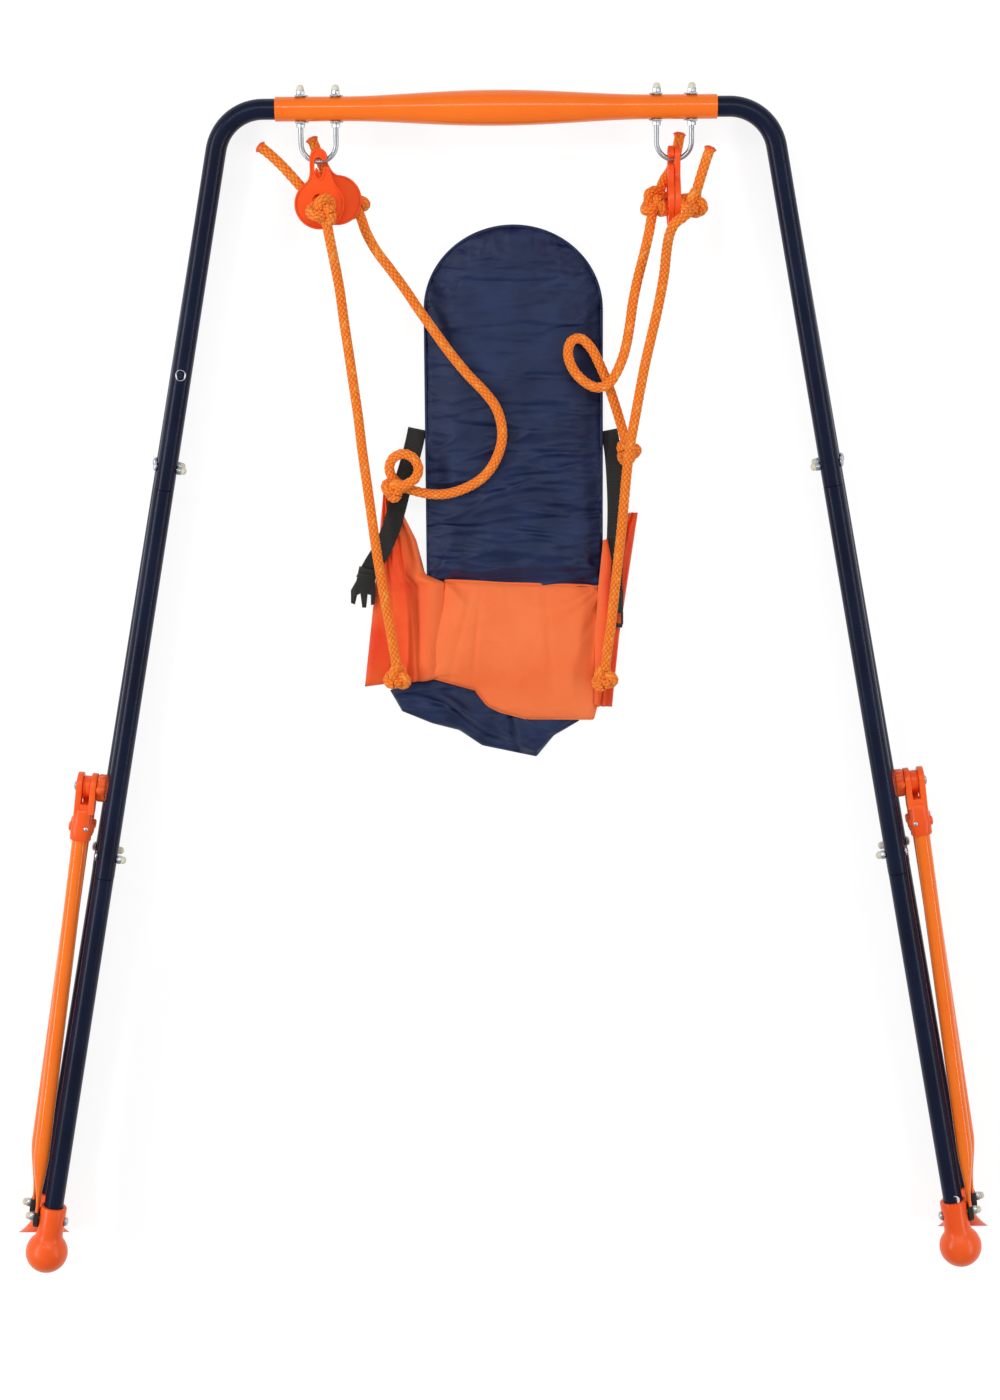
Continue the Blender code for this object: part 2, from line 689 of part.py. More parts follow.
def brace(label, side):
    rear_link = empty("rear_link_" + label, foot_bolt(True, side), root)
    front_link = empty("front_link_" + label, hinge_pivot(side), rear_link)
    knob_turn = empty("knob_turn_" + label, hinge_pivot(side), front_link)
    strut(True, "rear_strut_" + label, side, rear_link)
    fitting(True, "hinge_tongue_" + label, side, rear_link)
    strut(False, "front_strut_" + label, side, front_link)
    fitting(False, "hinge_fork_" + label, side, front_link)
    clamp_knob("hinge_knob_" + label, side, knob_turn)


# Hooks
HOOK_AXIS_HEIGHT = BAR_HEIGHT - HANGER_DROP
seat_hang = empty("seat_hang", (0, HOOK_AXIS_HEIGHT, FRAME_SPACING), front_frame)


def hook_rod(side):
    return Vector((side * HANGER_SPACING / 2, HOOK_AXIS_HEIGHT, FRAME_SPACING))


def hook_outline(half):
    """A hook round the rod, open at one side, over a round lobe for the rope."""
    outer, mouth = 0.0165, 0.0052
    points = [(-half, -0.020), (-half, 0.004)]
    for i in range(1, 6):
        angle = pi - pi * i / 6
        points.append((half * cos(angle), 0.004 + (outer - 0.004) * sin(angle)))
    points += [(half, 0.004), (mouth, 0.0004)]
    for i in range(1, 5):
        angle = pi * i / 4
        points.append((mouth * cos(angle), mouth * sin(angle)))
    points += [(-mouth, -0.014), (mouth * 0.3, -0.0205), (mouth, -0.014), (mouth + 0.0005, -0.0050), (half, -0.0050)]
    lobe = []
    for i in range(15):
        angle = radians(50) - radians(280) * i / 14
        lobe.append((HOOK_LOBE * cos(angle), -HOOK_LOBE_DROP + HOOK_LOBE * sin(angle)))
    return points + lobe


def hook_plate(rod, u, v, n, distance, half):
    """One hook plate; u, v and n are its sideways, upward and thickness directions."""
    low, high = distance, distance + HOOK_THICK
    outline = hook_outline(half)
    rings = [[rod + u * a + v * b + n * d for a, b in outline] for d in (low, high)]
    return rings, False


def hooks():
    """Two flat hooks a side: the left pair lies face up and the right pair on edge."""
    rod = hook_rod(-1)
    swing = Matrix.Rotation(HOOK_SWING, 3, "Z")
    front = hook_plate(rod, X, Y, Z, FRONT_HOOK_OFFSET, 0.0108)
    back = hook_plate(rod, swing @ -X, swing @ Y, -Z, BACK_HOOK_OFFSET, 0.0085)
    make("left_hook_front", front, HOOK_PLASTIC, seat_hang, 30)
    make("left_hook_back", back, HOOK_PLASTIC, seat_hang, 30)
    rod = hook_rod(1)
    first = hook_plate(rod, Z, Y, -X, FIT, 0.0125)
    second = hook_plate(rod, -Z, Y, X, FIT, 0.0125)
    make("right_hook_inner", first, HOOK_PLASTIC, seat_hang, 30)
    make("right_hook_outer", second, HOOK_PLASTIC, seat_hang, 30)


# Ropes
def rope(name, top_knot, route, end_knot, tail=()):
    """A rope along its route, with a knot at each end as a thicker stretch, and its tail."""
    points = [(p, 1.0) for p in reversed(tail)]
    points += [(p, r) for p, r in top_knot]
    points += [(p, 1.0) for p in route]
    points += [(p, r) for p, r in end_knot]
    curve = bpy.data.curves.new(name, "CURVE")
    curve.dimensions = "3D"
    curve.bevel_depth = ROPE_RADIUS
    curve.bevel_resolution = 2
    curve.use_fill_caps = True
    spline = curve.splines.new("POLY")
    spline.points.add(len(points) - 1)
    for point, (place, radius) in zip(spline.points, points):
        x, y, z = place
        point.co = (x, BAR_HEIGHT + y, z, 1)
        point.radius = radius
    thing = bpy.data.objects.new(name, curve)
    bpy.context.collection.objects.link(thing)
    curve.materials.append(ORANGE_ROPE)
    thing.parent = seat_hang
    thing.matrix_parent_inverse = Matrix.Translation(-DESIGN_PLACE[seat_hang.name])


ROPE_LEFT_FRONT = (
    (-0.2035, -0.1355, 0.0690), (-0.2005, -0.1535, 0.0655), (-0.196, -0.1815, 0.054), (-0.191, -0.2155, 0.040),
    (-0.187, -0.2535, 0.030), (-0.182, -0.2935, 0.023), (-0.177, -0.3335, 0.019), (-0.172, -0.3735, 0.016),
    (-0.168, -0.4135, 0.014), (-0.163, -0.4535, 0.013), (-0.158, -0.4935, 0.013), (-0.153, -0.5335, 0.013),
    (-0.147, -0.5735, 0.013), (-0.141, -0.6115, 0.012), (-0.135, -0.6485, 0.009), (-0.131, -0.6765, 0.005),
)
ROPE_LEFT_REAR = (
    (-0.164, -0.1300, 0.0300), (-0.158, -0.1475, 0.0305), (-0.146, -0.1695, 0.030), (-0.130, -0.1915, 0.025),
    (-0.113, -0.2155, 0.019), (-0.096, -0.2415, 0.014), (-0.078, -0.2675, 0.010), (-0.058, -0.2955, 0.0085),
    (-0.037, -0.3215, 0.0073), (-0.017, -0.3425, 0.0073), (-0.003, -0.3615, 0.0073), (0.004, -0.3835, 0.0073),
    (0.004, -0.4055, 0.0073), (-0.004, -0.4285, 0.0073), (-0.018, -0.4475, 0.0073), (-0.038, -0.4605, 0.0073),
    (-0.062, -0.4685, 0.0073), (-0.084, -0.4685, 0.0085), (-0.102, -0.4625, 0.0090),
)
ROPE_RIGHT_REAR = (
    (0.187, -0.1305, 0.037), (0.184, -0.1485, 0.036), (0.178, -0.1755, 0.034), (0.171, -0.2035, 0.031),
    (0.165, -0.2335, 0.028), (0.161, -0.2635, 0.025), (0.156, -0.2905, 0.0235), (0.148, -0.3135, 0.0225),
    (0.137, -0.3315, 0.021), (0.122, -0.3375, 0.0175), (0.106, -0.3305, 0.0125), (0.093, -0.3165, 0.0090),
    (0.0865, -0.2985, 0.0073), (0.090, -0.2825, 0.0073), (0.102, -0.2785, 0.0073), (0.115, -0.2905, 0.0073),
    (0.125, -0.3095, 0.0073), (0.134, -0.3305, 0.0073), (0.142, -0.3535, 0.0078), (0.149, -0.3755, 0.0072),
    (0.155, -0.3965, 0.0065),
)
ROPE_RIGHT_FRONT = (
    (0.2215, -0.1295, 0.087), (0.2115, -0.1375, 0.0865), (0.206, -0.1515, 0.077), (0.2035, -0.1715, 0.063),
    (0.202, -0.1935, 0.053), (0.199, -0.2155, 0.0465), (0.194, -0.2435, 0.040), (0.187, -0.2755, 0.036), (0.180, -0.3075, 0.033), (0.174, -0.3395, 0.031),
    (0.168, -0.3735, 0.030), (0.162, -0.4075, 0.029), (0.158, -0.4415, 0.027), (0.155, -0.4775, 0.023),
    (0.152, -0.5135, 0.019), (0.148, -0.5515, 0.016), (0.144, -0.5895, 0.014), (0.140, -0.6275, 0.014),
    (0.136, -0.6575, 0.014), (0.133, -0.6825, 0.013),
)


def ropes():
    rope(
        "rope_left_front",
        (((-0.222, -0.1040, 0.0740), 1.0), ((-0.213, -0.1085, 0.0737), 2.0), ((-0.206, -0.1185, 0.0736), 2.1), ((-0.204, -0.1275, 0.0706), 1.6)),
        ROPE_LEFT_FRONT,
        (((-0.130, -0.6865, 0.003), 1.8), ((-0.129, -0.6975, 0.002), 2.2), ((-0.128, -0.7085, 0.001), 1.8), ((-0.1275, -0.7145, 0.001), 0.8)),
        ((-0.233, -0.0935, 0.0745), (-0.243, -0.0795, 0.0735), (-0.253, -0.0655, 0.0725), (-0.264, -0.0505, 0.0715)),
    )
    rope(
        "rope_left_rear",
        (((-0.189, -0.1025, 0.0265), 1.0), ((-0.178, -0.1055, 0.0250), 1.7), ((-0.171, -0.1135, 0.0247), 1.9), ((-0.167, -0.1225, 0.0270), 1.5)),
        ROPE_LEFT_REAR,
        (((-0.111, -0.4555, 0.009), 1.6), ((-0.118, -0.4455, 0.009), 1.75), ((-0.122, -0.4355, 0.009), 1.6), ((-0.125, -0.4295, 0.009), 0.8)),
        ((-0.199, -0.0915, 0.0280), (-0.205, -0.0765, 0.0285), (-0.210, -0.0555, 0.0290), (-0.214, -0.0345, 0.0300)),
    )
    rope(
        "rope_right_rear",
        (((0.195, -0.1015, 0.031), 1.0), ((0.1932, -0.1075, 0.033), 2.0), ((0.1925, -0.1165, 0.034), 2.1), ((0.191, -0.1245, 0.036), 1.5)),
        ROPE_RIGHT_REAR,
        (((0.158, -0.4065, 0.004), 1.9), ((0.161, -0.4155, 0.003), 2.2), ((0.163, -0.4245, 0.003), 1.9), ((0.1645, -0.4315, 0.003), 0.8)),
        ((0.1985, -0.0875, 0.027), (0.207, -0.0755, 0.0265), (0.216, -0.0595, 0.027), (0.221, -0.0395, 0.028)),
    )
    rope(
        "rope_right_front",
        (((0.240, -0.0955, 0.065), 1.0), ((0.237, -0.1015, 0.064), 1.9), ((0.2345, -0.1115, 0.064), 2.1), ((0.231, -0.1215, 0.073), 1.4)),
        ROPE_RIGHT_FRONT,
        (((0.132, -0.6915, 0.011), 1.9), ((0.131, -0.7015, 0.009), 2.2), ((0.130, -0.7105, 0.008), 1.8), ((0.1295, -0.7165, 0.008), 0.8)),
        ((0.243, -0.0855, 0.067), (0.247, -0.0725, 0.068), (0.251, -0.0595, 0.069), (0.256, -0.0465, 0.070)),
    )


# Seat
def floor_z(y):
    """The floor's height in the frame's own tilted coordinates."""
    return (y * sin(LIE) - LIFT) / cos(LIE)


def on_floor(x, y, height):
    """A point above the floor, with y measured from the top bar's axis."""
    y += BAR_HEIGHT
    return Vector((x, y, floor_z(y) + height))


def backrest_outline(scale):
    """A tall pad with a round top, shrunk evenly towards its middle."""
    inset = (1 - scale) * BACKREST_HALF
    half, corner = BACKREST_HALF - inset, 0.012 * scale
    bottom, arc_top = BACKREST_BOTTOM + inset, BACKREST_TOP - inset
    arc_start = BACKREST_TOP - 0.103
    points = []
    for i in range(15):
        angle = pi * i / 14
        points.append((half * cos(angle), arc_start + (arc_top - arc_start) * sin(angle)))
    for y in (0.62, 0.28):
        points.append((-half, bottom + (arc_start - bottom) * y))
    points += [(-half, bottom + corner), (-half + corner, bottom), (0, bottom), (half - corner, bottom)]
    points.append((half, bottom + corner))
    for y in (0.28, 0.62):
        points.append((half, bottom + (arc_start - bottom) * y))
    return [(BACKREST_CENTRE + x, y) for x, y in points]


def backrest():
    """A padded board: drawn in at its piped edge and crowned in the middle."""
    levels = (
        (0.90, FLOOR_CLEAR),
        (0.985, 0.15 * BACKREST_THICK),
        (1.0, 0.42 * BACKREST_THICK),
        (0.985, 0.66 * BACKREST_THICK),
        (0.93, 0.80 * BACKREST_THICK),
        (0.78, 0.92 * BACKREST_THICK),
        (0.52, 0.98 * BACKREST_THICK),
        (0.25, BACKREST_THICK),
    )
    rings = [[on_floor(x, y, h) for x, y in backrest_outline(s)] for s, h in levels]
    make("backrest_pad", (rings, False), NAVY_CLOTH, seat_hang, 60)


def resample(line, count):
    """Evenly spaced points along a polyline."""
    lengths = [0.0]
    for a, b in zip(line, line[1:]):
        lengths.append(lengths[-1] + hypot(b[0] - a[0], b[1] - a[1]))
    points, k = [], 0
    for i in range(count + 1):
        want = lengths[-1] * i / count
        while k < len(line) - 2 and lengths[k + 1] < want:
            k += 1
        share = (want - lengths[k]) / (lengths[k + 1] - lengths[k])
        a, b = line[k], line[k + 1]
        points.append((a[0] + (b[0] - a[0]) * share, a[1] + (b[1] - a[1]) * share))
    return points


def slab(name, first, second, height, material, along=12, over=6, underside=FLOOR_CLEAR):
    """A soft sheet between two edges, with its top at a height that varies over it."""
    a, b = resample(first, along), resample(second, along)
    mesh = bpy.data.meshes.new(name)
    bm = bmesh.new()
    top, low = [], []
    for i in range(along + 1):
        rows = ([], [])
        for j in range(over + 1):
            s, t = i / along, j / over
            x = a[i][0] + (b[i][0] - a[i][0]) * t
            y = a[i][1] + (b[i][1] - a[i][1]) * t
            rise = height(s, t)
            rows[0].append(bm.verts.new(on_floor(x, y, underside + max(rise, 0.003))))
            rows[1].append(bm.verts.new(on_floor(x, y, underside)))
        top.append(rows[0])
        low.append(rows[1])
    for i in range(along):
        for j in range(over):
            bm.faces.new((top[i][j], top[i + 1][j], top[i + 1][j + 1], top[i][j + 1]))
            bm.faces.new((low[i][j], low[i][j + 1], low[i + 1][j + 1], low[i + 1][j]))
        for j in (0, over):
            bm.faces.new((top[i][j], low[i][j], low[i + 1][j], top[i + 1][j]))
    for i in (0, along):
        for j in range(over):
            bm.faces.new((top[i][j], low[i][j], low[i][j + 1], top[i][j + 1]))
    bmesh.ops.recalc_face_normals(bm, faces=bm.faces)
    bm.to_mesh(mesh)
    bm.free()
    return add(name, mesh, material, seat_hang, 60)


def pillow(s, t, power=0.35):
    return (max(sin(pi * s), 0) * max(sin(pi * t), 0)) ** power


def seat_cushion():
    """The seat's padded base, folded down flat below the backrest."""
    first = ((-0.0735, -0.5819), (-0.0735, -0.7105))
    second = ((0.1270, -0.5819), (0.1215, -0.7505))

    def height(s, t):
        channel = 0.0018 * max(0, 1 - abs(s - 0.78) / 0.06)
        return SEAT_THICK * (0.5 + 0.5 * pillow(s, t, 0.3)) - channel

    slab("seat_cushion", first, second, height, ORANGE_CLOTH, 12, 8)


def side_panels():
    """The cloth sides, folded flat beside the cushion."""

    def left_folds(s, t):
        return PANEL_THICK * (0.55 + 0.45 * pillow(s, t, 0.5)) + 0.0022 * sin(9 * t + 2 * s)

    left_outer = ((-0.144, -0.4685), (-0.157, -0.5985), (-0.171, -0.7175))
    left_inner = ((-0.131, -0.4735), (-0.0955, -0.5385), (-0.0935, -0.5815), (-0.0741, -0.5840), (-0.0741, -0.6975))
    slab("left_side_panel", left_outer, left_inner, left_folds, ORANGE_CLOTH, 10, 6)

    def right_folds(s, t):
        return PANEL_THICK * (0.6 + 0.4 * pillow(s, t, 0.5)) + 0.0016 * sin(7 * t + 5 * s)

    right_outer = ((0.174, -0.4975), (0.160, -0.5935), (0.151, -0.6535), (0.142, -0.7455))
    right_inner = ((0.163, -0.4975), (0.1345, -0.5385), (0.1320, -0.5810), (0.1276, -0.5855), (0.1223, -0.7445))
    slab("right_side_panel", right_outer, right_inner, right_folds, ORANGE_CLOTH, 10, 4)


def front_guard():
    """The navy cloth guard, crumpled below the cushion's edge."""
    upper = ((-0.139, -0.7255), (-0.104, -0.7065), (-0.0735, -0.7112), (0.020, -0.7304), (0.102, -0.7472))
    lower = ((-0.124, -0.7495), (-0.086, -0.7655), (-0.052, -0.7745), (-0.023, -0.7945), (0.046, -0.8095), (0.068, -0.7825), (0.100, -0.7635))

    def folds(s, t):
        base = 0.010 + 0.008 * max(sin(pi * t), 0) ** 0.6 * max(sin(pi * s), 0) ** 0.4
        ridge = 0.0045 * sin(16 * s + 3.0 * t) + 0.0025 * sin(31 * s - 5 * t)
        return base + ridge * max(sin(pi * t), 0.25)

    slab("front_guard", upper, lower, folds, NAVY_CLOTH, 18, 5)


def strap_body(line, half, thick, heights):
    """Webbing along (x, y) points, lying flat at heights above the floor."""
    points = [Vector((x, y, 0)) for x, y in line]
    rings = []
    for i, p in enumerate(points):
        ahead = (points[min(i + 1, len(points) - 1)] - points[max(i - 1, 0)]).normalized()
        wide = ahead.cross(Z)
        place = on_floor(p.x, p.y, heights[i])
        rings.append(flat_ring(place, wide, Z, half, thick / 2))
    return rings, False


def webbing():
    left = ((-0.1075, -0.3915), (-0.108, -0.4095), (-0.112, -0.4335), (-0.119, -0.4585), (-0.127, -0.4885), (-0.135, -0.5155), (-0.147, -0.5415), (-0.1588, -0.5609))
    heights = (0.004, 0.008, 0.0110, 0.0126, 0.0128, 0.0128, 0.0130, 0.0145)
    body = strap_body(left, WEBBING_HALF, WEBBING_THICK, heights)
    make("left_webbing", body, BLACK_WEBBING, seat_hang, 40)
    right = ((0.143, -0.3955), (0.1445, -0.4235), (0.1455, -0.4585), (0.1460, -0.4935), (0.1450, -0.5385), (0.1440, -0.5735), (0.1440, -0.6045))
    heights = (0.006, 0.008, 0.0110, 0.0132, 0.0140, 0.0140, 0.0140)
    body = strap_body(right, WEBBING_HALF - 0.001, WEBBING_THICK, heights)
    strap = make("right_webbing", body, BLACK_WEBBING, seat_hang, 40)
    slider = ((0.1335, -0.5935), (0.1555, -0.5940), (0.1555, -0.6415), (0.1335, -0.6405))
    drill(strap, [prism(slider, 0.0136, 0.0180)], "UNION")
    slot = ((0.1365, -0.6265), (0.1525, -0.6265), (0.1525, -0.6360), (0.1365, -0.6360))
    drill(strap, [prism(slot, 0.010, 0.024)])


def prism(outline, low, high):
    """A flat moulded piece from an outline between two heights above the floor."""
    return [[on_floor(x, y, h) for x, y in outline] for h in (low, high)], False


def buckle():
    """The side release buckle's plug at the left."""
    plug = (
        (-0.153, -0.5655), (-0.175, -0.5615), (-0.179, -0.5795), (-0.186, -0.5915), (-0.186, -0.6075), (-0.181, -0.6095),
        (-0.178, -0.5975), (-0.174, -0.5955), (-0.172, -0.6135), (-0.167, -0.6135), (-0.165, -0.5965), (-0.161, -0.5975),
        (-0.161, -0.6105), (-0.1565, -0.6095), (-0.1545, -0.5935), (-0.1555, -0.5815),
    )
    make("left_buckle", prism(plug, 0.0122, 0.0200), BLACK_PLASTIC, seat_hang, 30)


# Assembly
for rear, prefix in ((False, "front"), (True, "rear")):
    sleeve(rear, prefix + "_bar_sleeve")
    for label, side in SIDES:
        bent_tube(rear, f"{prefix}_bend_{label}", side)
        leg_tube(rear, f"{prefix}_middle_tube_{label}", side, UPPER_JOINT, LOWER_JOINT, TUBE_RADIUS, True)
        leg_tube(rear, f"{prefix}_lower_tube_{label}", side, LOWER_JOINT, 0, LOWER_RADIUS, False)
    frame_bolts(rear, prefix)

for label, side in SIDES:
    ball_foot("front_foot_" + label, side)
    flare_foot("rear_foot_" + label, side)
    hanger_bolt("hanger_bolt_" + label, side)
    hinge_bracket("hinge_bracket_" + label, side)
    brace(label, side)

hooks()
ropes()
backrest()
seat_cushion()
side_panels()
front_guard()
webbing()
buckle()

root.rotation_euler.x = -LIE
root.location = (0, -MIDDLE, LIFT)
bpy.context.view_layer.update()
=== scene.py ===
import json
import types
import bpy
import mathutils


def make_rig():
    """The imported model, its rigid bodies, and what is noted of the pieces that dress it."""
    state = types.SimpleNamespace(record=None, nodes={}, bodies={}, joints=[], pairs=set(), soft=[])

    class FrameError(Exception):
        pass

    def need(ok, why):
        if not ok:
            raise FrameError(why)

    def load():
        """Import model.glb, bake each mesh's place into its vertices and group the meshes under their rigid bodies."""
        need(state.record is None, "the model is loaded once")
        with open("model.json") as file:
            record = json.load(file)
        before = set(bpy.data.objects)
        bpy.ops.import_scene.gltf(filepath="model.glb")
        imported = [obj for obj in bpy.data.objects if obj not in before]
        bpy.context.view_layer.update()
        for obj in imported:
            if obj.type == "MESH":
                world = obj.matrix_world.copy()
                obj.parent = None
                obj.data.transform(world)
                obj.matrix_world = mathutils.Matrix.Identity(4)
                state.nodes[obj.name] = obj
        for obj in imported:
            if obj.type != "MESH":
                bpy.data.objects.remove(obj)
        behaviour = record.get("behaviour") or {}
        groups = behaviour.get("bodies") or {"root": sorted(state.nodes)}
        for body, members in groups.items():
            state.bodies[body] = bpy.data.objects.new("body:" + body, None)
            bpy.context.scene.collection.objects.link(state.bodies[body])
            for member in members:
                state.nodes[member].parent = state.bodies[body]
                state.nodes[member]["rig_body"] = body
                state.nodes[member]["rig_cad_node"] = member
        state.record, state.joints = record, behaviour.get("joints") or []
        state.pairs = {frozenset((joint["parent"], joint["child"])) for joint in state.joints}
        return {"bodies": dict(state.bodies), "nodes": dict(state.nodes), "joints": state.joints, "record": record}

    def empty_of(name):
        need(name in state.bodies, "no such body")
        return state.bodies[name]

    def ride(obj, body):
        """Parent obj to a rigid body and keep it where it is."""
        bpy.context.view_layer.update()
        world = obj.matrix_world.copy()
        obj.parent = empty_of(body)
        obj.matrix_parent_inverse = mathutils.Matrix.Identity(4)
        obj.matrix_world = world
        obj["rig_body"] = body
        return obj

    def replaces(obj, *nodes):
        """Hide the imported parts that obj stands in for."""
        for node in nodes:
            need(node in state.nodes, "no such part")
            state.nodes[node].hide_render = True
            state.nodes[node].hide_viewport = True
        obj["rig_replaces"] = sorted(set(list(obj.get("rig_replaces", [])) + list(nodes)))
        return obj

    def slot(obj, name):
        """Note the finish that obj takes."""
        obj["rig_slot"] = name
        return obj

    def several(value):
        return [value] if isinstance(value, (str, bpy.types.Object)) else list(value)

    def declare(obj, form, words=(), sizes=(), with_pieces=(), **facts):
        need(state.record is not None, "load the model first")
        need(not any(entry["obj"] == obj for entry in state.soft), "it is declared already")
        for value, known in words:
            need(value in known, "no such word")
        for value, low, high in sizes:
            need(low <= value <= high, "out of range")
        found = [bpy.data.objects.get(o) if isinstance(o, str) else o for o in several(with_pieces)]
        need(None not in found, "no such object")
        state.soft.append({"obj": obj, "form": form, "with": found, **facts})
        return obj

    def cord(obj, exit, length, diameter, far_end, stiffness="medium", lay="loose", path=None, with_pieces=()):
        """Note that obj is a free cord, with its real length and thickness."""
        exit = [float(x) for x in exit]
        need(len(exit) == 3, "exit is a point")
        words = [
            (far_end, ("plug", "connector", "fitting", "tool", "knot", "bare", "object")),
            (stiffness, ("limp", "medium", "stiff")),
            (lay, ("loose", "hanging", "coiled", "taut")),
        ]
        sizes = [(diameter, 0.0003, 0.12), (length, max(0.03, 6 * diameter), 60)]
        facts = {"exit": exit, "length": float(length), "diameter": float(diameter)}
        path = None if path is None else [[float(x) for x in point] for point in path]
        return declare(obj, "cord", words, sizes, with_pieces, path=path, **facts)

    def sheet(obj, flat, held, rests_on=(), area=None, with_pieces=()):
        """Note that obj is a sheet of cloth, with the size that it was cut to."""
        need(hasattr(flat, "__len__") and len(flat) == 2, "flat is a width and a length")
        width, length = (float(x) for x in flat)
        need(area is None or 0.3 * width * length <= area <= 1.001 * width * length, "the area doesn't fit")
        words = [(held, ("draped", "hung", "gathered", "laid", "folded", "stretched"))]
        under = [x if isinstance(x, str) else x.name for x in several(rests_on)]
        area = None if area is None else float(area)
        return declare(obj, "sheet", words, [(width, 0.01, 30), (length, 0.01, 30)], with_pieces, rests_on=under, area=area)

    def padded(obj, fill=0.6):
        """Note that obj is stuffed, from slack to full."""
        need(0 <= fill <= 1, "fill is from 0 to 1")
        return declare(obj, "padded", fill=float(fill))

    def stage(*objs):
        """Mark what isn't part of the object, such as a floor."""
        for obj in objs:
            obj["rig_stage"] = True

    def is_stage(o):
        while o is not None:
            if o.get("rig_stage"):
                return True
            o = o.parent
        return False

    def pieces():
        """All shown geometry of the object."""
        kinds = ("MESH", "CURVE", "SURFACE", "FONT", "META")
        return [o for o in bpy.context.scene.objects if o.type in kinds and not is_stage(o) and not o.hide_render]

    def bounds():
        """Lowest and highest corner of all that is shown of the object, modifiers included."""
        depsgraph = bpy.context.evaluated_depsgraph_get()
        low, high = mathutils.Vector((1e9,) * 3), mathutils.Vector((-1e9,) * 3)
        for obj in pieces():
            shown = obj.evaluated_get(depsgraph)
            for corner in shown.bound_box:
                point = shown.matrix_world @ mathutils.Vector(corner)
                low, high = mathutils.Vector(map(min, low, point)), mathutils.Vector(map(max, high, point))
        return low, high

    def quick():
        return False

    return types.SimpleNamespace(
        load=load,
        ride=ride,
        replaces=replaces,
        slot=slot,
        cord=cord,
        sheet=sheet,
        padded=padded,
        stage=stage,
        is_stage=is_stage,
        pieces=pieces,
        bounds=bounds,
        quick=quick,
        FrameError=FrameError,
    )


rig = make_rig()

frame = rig.load()

import json
from math import atan2, cos, floor, hypot, pi, radians, sin, tan

import bmesh
import bpy
from mathutils import Matrix, Vector, noise

cad_box = [[float(n) for n in corner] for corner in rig.bounds()]


# ---- Camera -----------------------------------------------------------------------------
# The folded swing lies on its back, a third of a degree off level, so every piece is drawn
# flat in the frame's own plane and laid down by LIE. The camera looks down on the whole swing.
X, Y, Z = Vector((1, 0, 0)), Vector((0, 1, 0)), Vector((0, 0, 1))
BAR = 1.4435
TILT = 0.00629446
LIE = Matrix.Translation((0, -0.7228504, 0.0299763)) @ Matrix.Rotation(-TILT, 4, "X")


def add(name, data):
    """A new object, standing at the origin."""
    thing = bpy.data.objects.new(name, data)
    bpy.context.collection.objects.link(thing)
    return thing


def stood(x, y, z, spot):
    """The transform that turns the three axes to x, y and z and moves the origin to a spot."""
    matrix = Matrix((x, y, z)).transposed().to_4x4()
    matrix.translation = spot
    return matrix


eye, aim, roll = Vector((0, 1.442, 3.650)), Vector((0, 0.722, 0.050)), radians(-0.38)
ahead = (aim - eye).normalized()
level = ahead.cross(Y).normalized()
upright = level.cross(ahead)
camera = add("camera", bpy.data.cameras.new("camera"))
camera.matrix_world = LIE @ stood(level * cos(roll) + upright * sin(roll),
                                  upright * cos(roll) - level * sin(roll), -ahead, eye)
camera.data.lens, camera.data.sensor_width, camera.data.clip_end = 75.98, 36, 50
bpy.context.scene.camera = camera


# ---- Ropes ------------------------------------------------------------------------------
# Four 12 mm polypropylene ropes, braided from bright orange yarn with a few yellow ones. Each
# goes through a hook's hole, is knotted there and again at the seat, and its cut tail has been
# melted to a hard red lip.
ROPE, ROPE_STEP = 0.012, 0.0015
STRANDS, PICK, GROOVE, CROWN = 6, 0.0076, 0.0009, 0.0014
LIP, LIP_LONG = (0.0034, 0.0066, 0.0080, 0.0069), 0.0080
KNOT_WIDE, KNOT_DEEP = 0.0044, 0.0060


def mm(points):
    """Points in metres, from ones that are typed in millimetres."""
    return [tuple(n / 1000 for n in p) for p in points]


def from_bar(points):
    """Vectors from points in millimetres, whose y is measured from the top bar's axis."""
    return [Vector(p) + Y * BAR for p in mm(points)]


def span_of(line):
    return sum((b - a).length for a, b in zip(line, line[1:]))


def drawn(points, step):
    """A smooth line through points, with a place about every step along it."""
    p = [Vector(q) for q in points]
    p = [2 * p[0] - p[1], *p, 2 * p[-1] - p[-2]]
    fine = []
    for a, b, c, d in zip(p, p[1:], p[2:], p[3:]):
        for k in range(16):
            t = k / 16
            bend = (2 * a - 5 * b + 4 * c - d) * t * t + (3 * b - a - 3 * c + d) * t**3
            fine.append((2 * b + (c - a) * t + bend) / 2)
    fine.append(p[-2])
    run = [0.0]
    for a, b in zip(fine, fine[1:]):
        run.append(run[-1] + (b - a).length)
    count, line, k = max(round(run[-1] / step), 3), [], 0
    for i in range(count + 1):
        want = run[-1] * i / count
        while k < len(fine) - 2 and run[k + 1] < want:
            k += 1
        share = (want - run[k]) / max(run[k + 1] - run[k], 1e-9)
        line.append(fine[k].lerp(fine[k + 1], share))
    return line


def rings_along(line):
    """The place and turn of a ring at each point of a line, without any twist."""
    places, side = [], None
    for i, p in enumerate(line):
        way = (line[min(i + 1, len(line) - 1)] - line[max(i - 1, 0)]).normalized()
        side = way.orthogonal() if side is None else side - way * side.dot(way)
        side.normalize()
        places.append(stood(side, way.cross(side), way, p))
    return places


def gridded(bm, across, rows, wide=1, long=1):
    """A fine grid with its faces, whose cloth coordinates run to wide and to long."""
    layer = bm.loops.layers.uv.verify()
    verts = bmesh.ops.create_grid(bm, x_segments=across, y_segments=rows, size=1,
                                  calc_uvs=True)["verts"]
    faces = {f for v in verts for f in v.link_faces}
    for face in faces:
        for loop in face.loops:
            loop[layer].uv.x *= wide
            loop[layer].uv.y *= long
    return verts, faces


